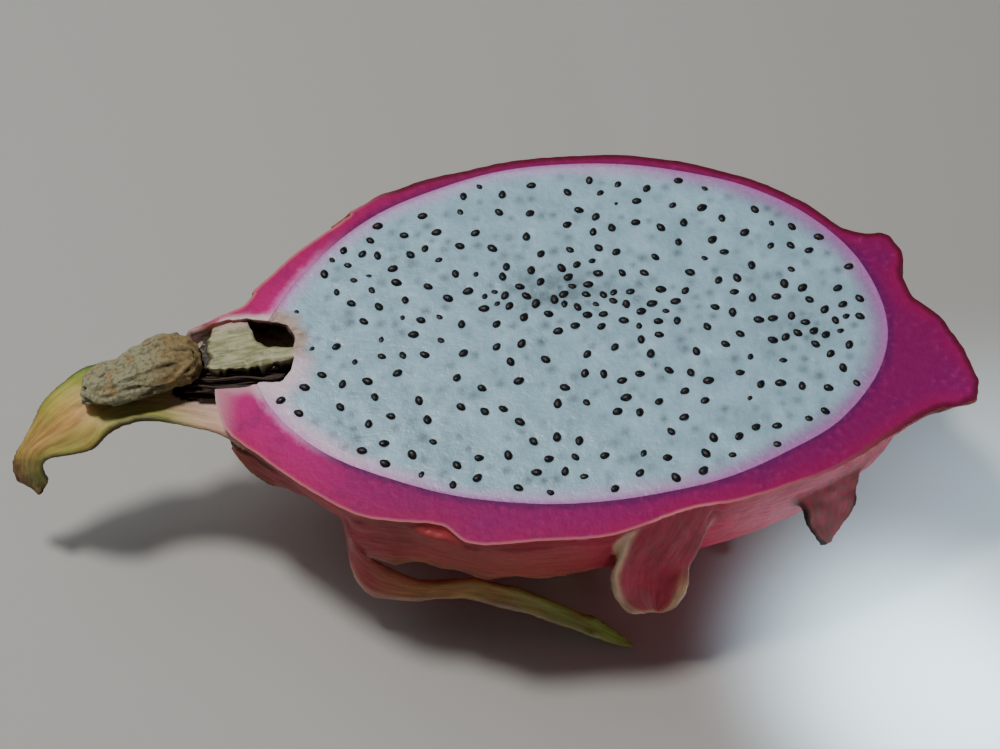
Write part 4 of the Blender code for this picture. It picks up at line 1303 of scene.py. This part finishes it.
class FRUIT_OT_pulp(Operator):
    """Add the flesh"""

    bl_idname = "mesh.dragon_fruit_pulp"
    bl_label = "Pulp"

    def execute(self, context):
        settings = context.scene.dragon_fruit_pulp
        pulp = add_half_body("pulp_flesh", lambda a, s: pulp_point(a, s, 0.0), top=1.0)
        cut_by(pulp, add_knife(settings.fineness / MM))
        shown = kdtree.KDTree(SEED_COUNT)
        for i, (x, y, _) in enumerate(seed_places()):
            shown.insert((x, y, 0), i)
        shown.balance()
        for v in pulp.data.vertices:
            if v.co.z < -0.3:
                continue
            spot = Vector((v.co.x, v.co.y, 0))
            edge = closed_curve(PULP_EDGE, math.degrees(math.atan2(spot.y, spot.x))) - spot.length
            relief = 0.10 * noise.noise(spot * 0.16) + 0.07 * noise.noise(spot * 0.9) - 0.02
            socket = -0.16 * math.exp(-((shown.find(spot)[2] / 1.25) ** 2))
            v.co.z += (relief + socket) * smooth_step(0.3, 2.0, edge)
        cut_by(pulp, *add_hollow_cutters())
        deep = kdtree.KDTree(settings.buried)
        for i, (x, y) in enumerate(buried_places(settings.buried)):
            deep.insert((x, y, 0), i)
        deep.balance()
        draw = random.Random(BURIED_DRAW)
        strength = [draw.uniform(0.25, 0.75) for _ in range(settings.buried)]
        reach = [draw.uniform(0.6, 1.0) for _ in range(settings.buried)]
        buried, from_rind, painted_hollow_shade, pale, grain, blush, plum = [], [], [], [], [], [], []
        for v in pulp.data.vertices:
            spot = Vector((v.co.x, v.co.y, 0))
            top = v.co.z > -0.6
            _, index, distance = deep.find(spot)
            murky = 0.0
            for (cx, cy), (rx, ry), crowd in SEED_CROWDS[:2]:
                far_out = ((spot.x - cx) / rx) ** 2 + ((spot.y - cy) / ry) ** 2
                murky += crowd * 0.16 * math.exp(-1.3 * far_out) * (0.75 + noise.noise(spot * 0.5))
            seen = strength[index] * math.exp(-((distance / reach[index]) ** 2))
            buried.append(max(seen, min(murky, 0.6)) if top else 0.0)
            angle = math.atan2(spot.y, spot.x)
            edge = closed_curve(PULP_EDGE, math.degrees(angle)) - spot.length
            blush.append(smooth_step(-1.0, -6.0, spot.y) * smooth_step(-24.0, -46.0, spot.x))
            plum.append(0.85 * smooth_step(0.0, 0.95, math.cos(angle - 0.1)))
            wide = 1 + 0.6 * blush[-1] + 0.4 * plum[-1] + 0.3 * noise.noise(spot * 0.15)
            from_rind.append(max(edge, 0.0) / wide if top else 20.0)
            share = hollow_share(spot.x, spot.y)
            # Painted shade: inside the hollow the pulp's walls below the cut face darken to near black.
            painted_hollow_shade.append(smooth_step(-0.3, -1.6, v.co.z) if share < 1.15 and v.co.z > -9.5 else 0.0)
            outer = 1.55 + 0.25 * blush[-1]
            near_hollow = 0.95 * smooth_step(outer, 1.12, share + 0.12 * noise.noise(spot * 0.5))
            pale.append(near_hollow if top or share < 1.2 else 0.0)
            around = math.atan2(spot.y - HOLLOW_LOBES[0][0][1], spot.x - HOLLOW_LOBES[0][0][0])
            grain.append((around * 6, share * 6, 0.0))
        set_attribute(pulp, "buried", "FLOAT", buried)
        set_attribute(pulp, "from_rind", "FLOAT", from_rind)
        set_attribute(pulp, "painted_hollow_shade", "FLOAT", painted_hollow_shade)
        set_attribute(pulp, "pale", "FLOAT", pale)
        set_attribute(pulp, "grain", "FLOAT_VECTOR", grain)
        set_attribute(pulp, "blush", "FLOAT", blush)
        set_attribute(pulp, "plum", "FLOAT", plum)
        pulp.data.materials.clear()
        pulp.data.materials.append(pulp_material(settings))
        pick(pulp)
        bpy.ops.object.shade_smooth_by_angle(angle=math.radians(50))
        place_piece(pulp, "pulp", "pulp")
        return {"FINISHED"}


class FRUIT_OT_seeds(Operator):
    """Add the seeds on the cut face"""

    bl_idname = "mesh.dragon_fruit_seeds"
    bl_label = "Seeds"

    def execute(self, context):
        settings = context.scene.dragon_fruit_pulp
        deselect()
        bpy.ops.mesh.primitive_uv_sphere_add(segments=8, ring_count=6, radius=1, rotation=(0, math.pi / 2, 0))
        seed = bpy.context.object
        bpy.ops.object.transform_apply(location=False, rotation=True, scale=False)
        bpy.ops.object.mode_set(mode="EDIT")
        bpy.ops.mesh.select_all(action="DESELECT")
        work = bmesh.from_edit_mesh(seed.data)
        for v in work.verts:
            v.select_set(v.co.x > 0.4)
        bmesh.update_edit_mesh(seed.data)
        bpy.ops.transform.resize(value=(1.0, 0.9, 0.92))
        bpy.ops.mesh.select_all(action="SELECT")
        bpy.ops.transform.resize(
            value=(settings.seed_length / MM / 2, settings.seed_width / MM / 2, 0.5)
        )
        object_mode()
        draw = random.Random(SEED_DRAW)
        copies = []
        for number, (x, y, turn) in enumerate(seed_places()):
            standing = number < SEEDS_STANDING_OUT
            size = draw.uniform(0.88, 1.04) if standing else draw.uniform(0.75, 0.98)
            level = -0.08 if standing else draw.uniform(-0.42, -0.2)
            if draw.random() < 0.5:
                turn += math.pi
            tilt = Matrix.Rotation(draw.uniform(-0.25, 0.25), 4, "Y") @ Matrix.Rotation(draw.uniform(-0.3, 0.3), 4, "X")
            copy = seed.copy()
            copy.data = seed.data.copy()
            bpy.context.collection.objects.link(copy)
            copy.data.transform(
                Matrix.Translation((x, y, level)) @ Matrix.Rotation(turn, 4, "Z") @ tilt @ Matrix.Scale(size, 4)
            )
            copies.append(copy)
        remove(seed)
        seeds = join(copies, "seeds")
        seeds.data.materials.append(seed_material(settings))
        bpy.ops.object.shade_smooth()
        place_piece(seeds, "pulp", "pulp")
        return {"FINISHED"}


def add_tube(name, along, around):
    """A closed tube of unit length and radius along X, as a rolled grid."""
    deselect()
    bpy.ops.mesh.primitive_cylinder_add(vertices=around, radius=1, depth=1, end_fill_type="TRIFAN", rotation=(0, math.pi / 2, 0))
    bpy.ops.object.transform_apply(location=False, rotation=True, scale=False)
    piece = bpy.context.object
    piece.name = name
    edit_all()
    bpy.ops.mesh.select_all(action="DESELECT")
    work = bmesh.from_edit_mesh(piece.data)
    for edge in work.edges:
        edge.select_set(abs(edge.verts[0].co.x - edge.verts[1].co.x) > 0.9)
    chosen = [edge for edge in work.edges if edge.select]
    bmesh.ops.subdivide_edges(work, edges=chosen, cuts=along - 1, use_grid_fill=True)
    bmesh.update_edit_mesh(piece.data)
    object_mode()
    return piece


def flower_frame(t):
    """Centre, sideways direction, half width and half height of the flower at t from its root."""
    rows = [[*centre, half_width, half_height] for centre, half_width, half_height in FLOWER]
    x, y, z, half_width, half_height = spline(rows, t)
    ahead, behind = spline(rows, min(t + 0.01, 1)), spline(rows, max(t - 0.01, 0))
    forward = Vector((ahead[0] - behind[0], ahead[1] - behind[1], 0)).normalized()
    return Vector((x, y, z)), Vector((-forward.y, forward.x, 0)), half_width, half_height


class FRUIT_OT_flower(Operator):
    """Add the withered flower that lies on the long scale"""

    bl_idname = "mesh.dragon_fruit_flower"
    bl_label = "Withered flower"

    def execute(self, context):
        settings = context.scene.dragon_fruit_flower
        tube = add_tube("withered_petals", 90, 72)
        start = 0.385
        for v in tube.data.vertices:
            t = start + (v.co.x + 0.5) * (1 - start)
            turn = math.atan2(v.co.z, v.co.y)
            size = math.hypot(v.co.y, v.co.z)
            centre, side, half_width, half_height = flower_frame(t)
            twist = turn + 1.5 * t
            spot = Vector((t * 7, math.cos(twist) * 2.0, math.sin(twist) * 2.0))
            fold = 1.06 - abs(noise.noise(spot)) * 0.5 - abs(noise.noise(spot * 2.3)) * 0.2
            fold += 0.04 * math.sin(7 * twist)
            ends = smooth_step(start - 0.02, start + 0.05, t) * 0.3 + 0.7
            reach = size * fold * ends
            v.co = centre + side * math.cos(turn) * half_width * reach
            v.co.z += math.sin(turn) * half_height * reach
        pieces = [tube]
        draw = random.Random(3)
        for number in range(11):
            pieces.append(self.add_petal(number, draw))
        flower = join(pieces, "withered_petals")
        apply_modifier(flower, "REMESH", mode="VOXEL", voxel_size=settings.fineness / MM)
        apply_modifier(flower, "SMOOTH", factor=0.5, iterations=2)
        for v, normal in zip(flower.data.vertices, [v.normal.copy() for v in flower.data.vertices]):
            long_way, cross_way = 0.96 * v.co.x + 0.29 * v.co.y, 0.96 * v.co.y - 0.29 * v.co.x
            wrinkle = Vector((long_way * 0.24, cross_way * 1.1, v.co.z * 1.1))
            v.co += normal * (0.36 * noise.noise(wrinkle) + 0.07 * noise.noise(wrinkle * 2.6))
        self.mark_creases(flower)
        flower.data.materials.clear()
        flower.data.materials.append(flower_material(settings))
        pick(flower)
        bpy.ops.object.shade_smooth()
        place_piece(flower, "withered_flower", "withered_flower")
        return {"FINISHED"}

    def add_petal(self, number, draw):
        """A dried petal, as a creased strip that lies along the flower."""
        deselect()
        bpy.ops.mesh.primitive_grid_add(x_subdivisions=60, y_subdivisions=14, size=2)
        petal = bpy.context.object
        first = draw.uniform(0.42, 0.6)
        last = min(first + draw.uniform(0.28, 0.45), 0.99)
        around = math.radians(5 + 170 * number / 10 + draw.uniform(-12, 12))
        wide = draw.uniform(0.45, 0.8)
        lift = draw.uniform(0.2, 0.9)
        for v in petal.data.vertices:
            s, u = (v.co.x + 1) / 2, v.co.y
            t = first + (last - first) * s
            centre, side, half_width, half_height = flower_frame(t)
            turn = around + u * wide * math.sin(math.pi * (0.12 + 0.8 * s)) + 0.25 * math.sin(s * 5 + number)
            out = 1 + 0.10 * noise.noise(Vector((s * 6, u * 2, number))) + 0.03 * math.cos(u * 9 + s * 4)
            rise = lift * (0.35 + abs(u)) * 0.5
            v.co = centre + side * math.cos(turn) * (half_width * out * 0.93 + rise)
            v.co.z += math.sin(turn) * (half_height * out * 0.93 + rise)
        apply_modifier(petal, "SOLIDIFY", thickness=0.48, offset=0)
        return petal

    def mark_creases(self, flower):
        """How deep each point lies below the smooth form of the flower, used as painted shade in its creases."""
        crease_shade = []
        mesh = flower.data
        smooth = [v.co.copy() for v in mesh.vertices]
        near = [[] for _ in mesh.vertices]
        for edge in mesh.edges:
            a, b = edge.vertices
            near[a].append(b)
            near[b].append(a)
        for _ in range(12):
            smooth = [
                sum((smooth[i] for i in ring), Vector()) / len(ring) if ring else smooth[k]
                for k, ring in enumerate(near)
            ]
        for v, soft in zip(mesh.vertices, smooth):
            crease_shade.append(smooth_step(0.02, 0.22, (soft - v.co).dot(v.normal)))
        set_attribute(flower, "crease_shade", "FLOAT", crease_shade)


class FRUIT_OT_core(Operator):
    """Add the core of the flower, cut flat, that lies in the hollow"""

    bl_idname = "mesh.dragon_fruit_core"
    bl_label = "Core of the flower"

    def execute(self, context):
        settings = context.scene.dragon_fruit_flower
        deselect()
        bpy.ops.mesh.primitive_grid_add(x_subdivisions=110, y_subdivisions=44, size=2)
        core = bpy.context.object
        core.name = "flower_core"
        for v in core.data.vertices:
            t, u = (v.co.x + 1) / 2, v.co.y
            x, near, far = between(CORE_EDGES, t)
            ragged = 0.5 * noise.noise(Vector((t * 14, u * 1.5, 2)))
            x += 0.6 * noise.noise(Vector((u * 3, t, 7))) * (abs(2 * t - 1) ** 4)
            y = near + (far - near) * (u + 1) / 2 + ragged * abs(u) ** 2
            sag = 0.9 * smooth_step(0.55, 1.0, abs(u)) * smooth_step(0.0, 0.12, t)
            fibre = 0.16 * noise.noise(Vector((x * 0.4, y * 2.2, 1))) + 0.1 * noise.noise(Vector((x, y * 5, 4)))
            v.co = Vector((x, y, CORE_LEVEL - sag * 0.6 + fibre))
        apply_modifier(core, "SOLIDIFY", thickness=2.6, offset=-1 if core.data.polygons[0].normal.z > 0 else 1)
        apply_modifier(core, "REMESH", mode="VOXEL", voxel_size=0.22)
        apply_modifier(core, "SMOOTH", factor=0.5, iterations=2)
        # Painted shade: the core's underside and its dipping outer end are marked to be drawn dark.
        under = []
        for v in core.data.vertices:
            outer_end = smooth_step(-68.3, -69.4, v.co.x + 1.2 * noise.noise(v.co * 0.7))
            v.co.z -= 0.9 * outer_end
            under.append(max(smooth_step(CORE_LEVEL - 0.7, CORE_LEVEL - 2.2, v.co.z), outer_end))
        set_attribute(core, "crease_shade", "FLOAT", under)
        joined = [0.8 * smooth_step(1.5, 4.2, v.co.y + noise.noise(v.co * 0.6)) for v in core.data.vertices]
        set_attribute(core, "joined", "FLOAT", joined)
        core.data.materials.append(core_material(settings))
        pick(core)
        bpy.ops.object.shade_smooth_by_angle(angle=math.radians(50))
        place_piece(core, "withered_flower", "withered_flower")
        return {"FINISHED"}


class FRUIT_OT_strands(Operator):
    """Add the dried stamens that lie along the hollow"""

    bl_idname = "mesh.dragon_fruit_strands"
    bl_label = "Dried stamens"

    def execute(self, context):
        settings = context.scene.dragon_fruit_flower
        draw = random.Random(5)
        strands = []
        for number in range(settings.strands):
            strand = add_tube("strand", 14, 6)
            share = number / max(settings.strands - 1, 1)
            low = -2.4 - draw.uniform(0.0, 1.6)
            root = Vector((draw.uniform(-57.0, -55.2), -5.0 - 4.0 * share, low - 0.8))
            tip = Vector((draw.uniform(-73.5, -71.0), -6.2 - 3.4 * share, low + draw.uniform(-0.6, 0.6)))
            bow = Vector((0, draw.uniform(-0.6, 0.6), draw.uniform(-0.9, 0.5)))
            thick = draw.uniform(0.22, 0.42)
            for v in strand.data.vertices:
                s = v.co.x + 0.5
                taper = 1 - 0.35 * s
                centre = root.lerp(tip, s) + bow * math.sin(math.pi * s)
                centre.y += 0.25 * math.sin(s * 9 + number)
                v.co = centre + Vector((0, v.co.y * thick * taper, v.co.z * thick * taper))
            strands.append(strand)
        joined = join(strands, "dried_stamens")
        joined.data.materials.append(strand_material())
        bpy.ops.object.shade_smooth()
        place_piece(joined, "withered_flower", "withered_flower")
        return {"FINISHED"}


def add_light(name, place, target, size, power, colour, kind="AREA"):
    data = bpy.data.lights.new(name, kind)
    if kind == "AREA":
        data.shape = "DISK"
        data.size = size
    else:
        data.shadow_soft_size = size
    data.energy = power
    data.color = colour
    light = bpy.data.objects.new(name, data)
    bpy.context.scene.collection.objects.link(light)
    light.location = place
    light.rotation_euler = (Vector(target) - Vector(place)).to_track_quat("-Z", "Y").to_euler()
    return light


class FRUIT_OT_stage(Operator):
    """Add the floor, the lights and the camera"""

    bl_idname = "mesh.dragon_fruit_stage"
    bl_label = "Stage"

    def execute(self, context):
        settings = context.scene.dragon_fruit_stage
        deselect()
        bpy.ops.mesh.primitive_plane_add(size=4, location=(0, 0, 0))
        floor = bpy.context.object
        floor.name = "floor"
        floor.data.materials.append(floor_material(settings))
        key = Vector((-0.30, 0.13, 1)).normalized()
        add_light("key", MIDDLE + key * 0.8, MIDDLE, 0.12, settings.key, (1.0, 0.97, 0.93))
        add_light("fill", MIDDLE + Vector((-0.55, 0.35, 0.75)), MIDDLE, 0.8, settings.fill, (0.88, 0.95, 1.0))
        cool = Vector((0.5, -0.35, 0.8)).normalized() * 0.85
        for name, place, share, angle in (
            ("side_patch", (0.062, -0.051, -0.043), 2.2, 4.2),
            ("side_glow", (0.092, -0.028, -0.043), 0.6, 7.4),
        ):
            target = MIDDLE + Vector(place)
            side = add_light(name, target + cool, target, 0.012, settings.side * share, (0.62, 0.83, 1.0), "SPOT")
            side.data.spot_size = math.radians(angle)
            side.data.spot_blend = 1.0
        target = MIDDLE + Vector((0.043, -0.031, -0.012))
        low = add_light("low", target + Vector((0.33, -0.82, 0.09)), target, 0.05, settings.low, (0.78, 0.78, 1.0), "SPOT")
        low.data.spot_size = math.radians(5.0)
        low.data.spot_blend = 1.0
        world = bpy.data.worlds.new("soft_room")
        world.use_nodes = True
        background = world.node_tree.nodes["Background"]
        background.inputs["Color"].default_value = (1.0, 0.95, 0.92, 1)
        background.inputs["Strength"].default_value = 0.065
        context.scene.world = world
        data = bpy.data.cameras.new("camera")
        data.lens = 80.6
        data.sensor_width = 36
        data.clip_start = 0.01
        camera = bpy.data.objects.new("camera", data)
        context.scene.collection.objects.link(camera)
        target = MIDDLE + Vector((-16.4, -7.6, 0)) * MM
        camera.location = MIDDLE + Vector((-16.4, -225.5, 335.5)) * MM
        camera.rotation_euler = (target - camera.location).to_track_quat("-Z", "Y").to_euler()
        context.scene.camera = camera
        return {"FINISHED"}


class FRUIT_PT_panel(Panel):
    """Lists what the add-on builds"""

    bl_label = "Half dragon fruit"
    bl_idname = "FRUIT_PT_panel"
    bl_space_type = "VIEW_3D"
    bl_region_type = "UI"
    bl_category = "Fruit"

    def draw(self, context):
        column = self.layout.column()
        for operator in OPERATORS:
            column.operator(operator.bl_idname)


OPERATORS = (
    FRUIT_OT_rind,
    FRUIT_OT_pulp,
    FRUIT_OT_seeds,
    FRUIT_OT_flower,
    FRUIT_OT_core,
    FRUIT_OT_strands,
    FRUIT_OT_stage,
)
CLASSES = (RindSettings, PulpSettings, FlowerSettings, StageSettings, *OPERATORS, FRUIT_PT_panel)


def register():
    for cls in CLASSES:
        bpy.utils.register_class(cls)
    bpy.types.Scene.dragon_fruit_rind = PointerProperty(type=RindSettings)
    bpy.types.Scene.dragon_fruit_pulp = PointerProperty(type=PulpSettings)
    bpy.types.Scene.dragon_fruit_flower = PointerProperty(type=FlowerSettings)
    bpy.types.Scene.dragon_fruit_stage = PointerProperty(type=StageSettings)


def unregister():
    for name in ("rind", "pulp", "flower", "stage"):
        delattr(bpy.types.Scene, "dragon_fruit_" + name)
    for cls in reversed(CLASSES):
        bpy.utils.unregister_class(cls)


def main():
    register()
    bpy.ops.mesh.dragon_fruit_rind()
    bpy.ops.mesh.dragon_fruit_pulp()
    bpy.ops.mesh.dragon_fruit_seeds()
    bpy.ops.mesh.dragon_fruit_flower()
    bpy.ops.mesh.dragon_fruit_core()
    bpy.ops.mesh.dragon_fruit_strands()
    bpy.ops.mesh.dragon_fruit_stage()


if __name__ == "__main__":
    main()
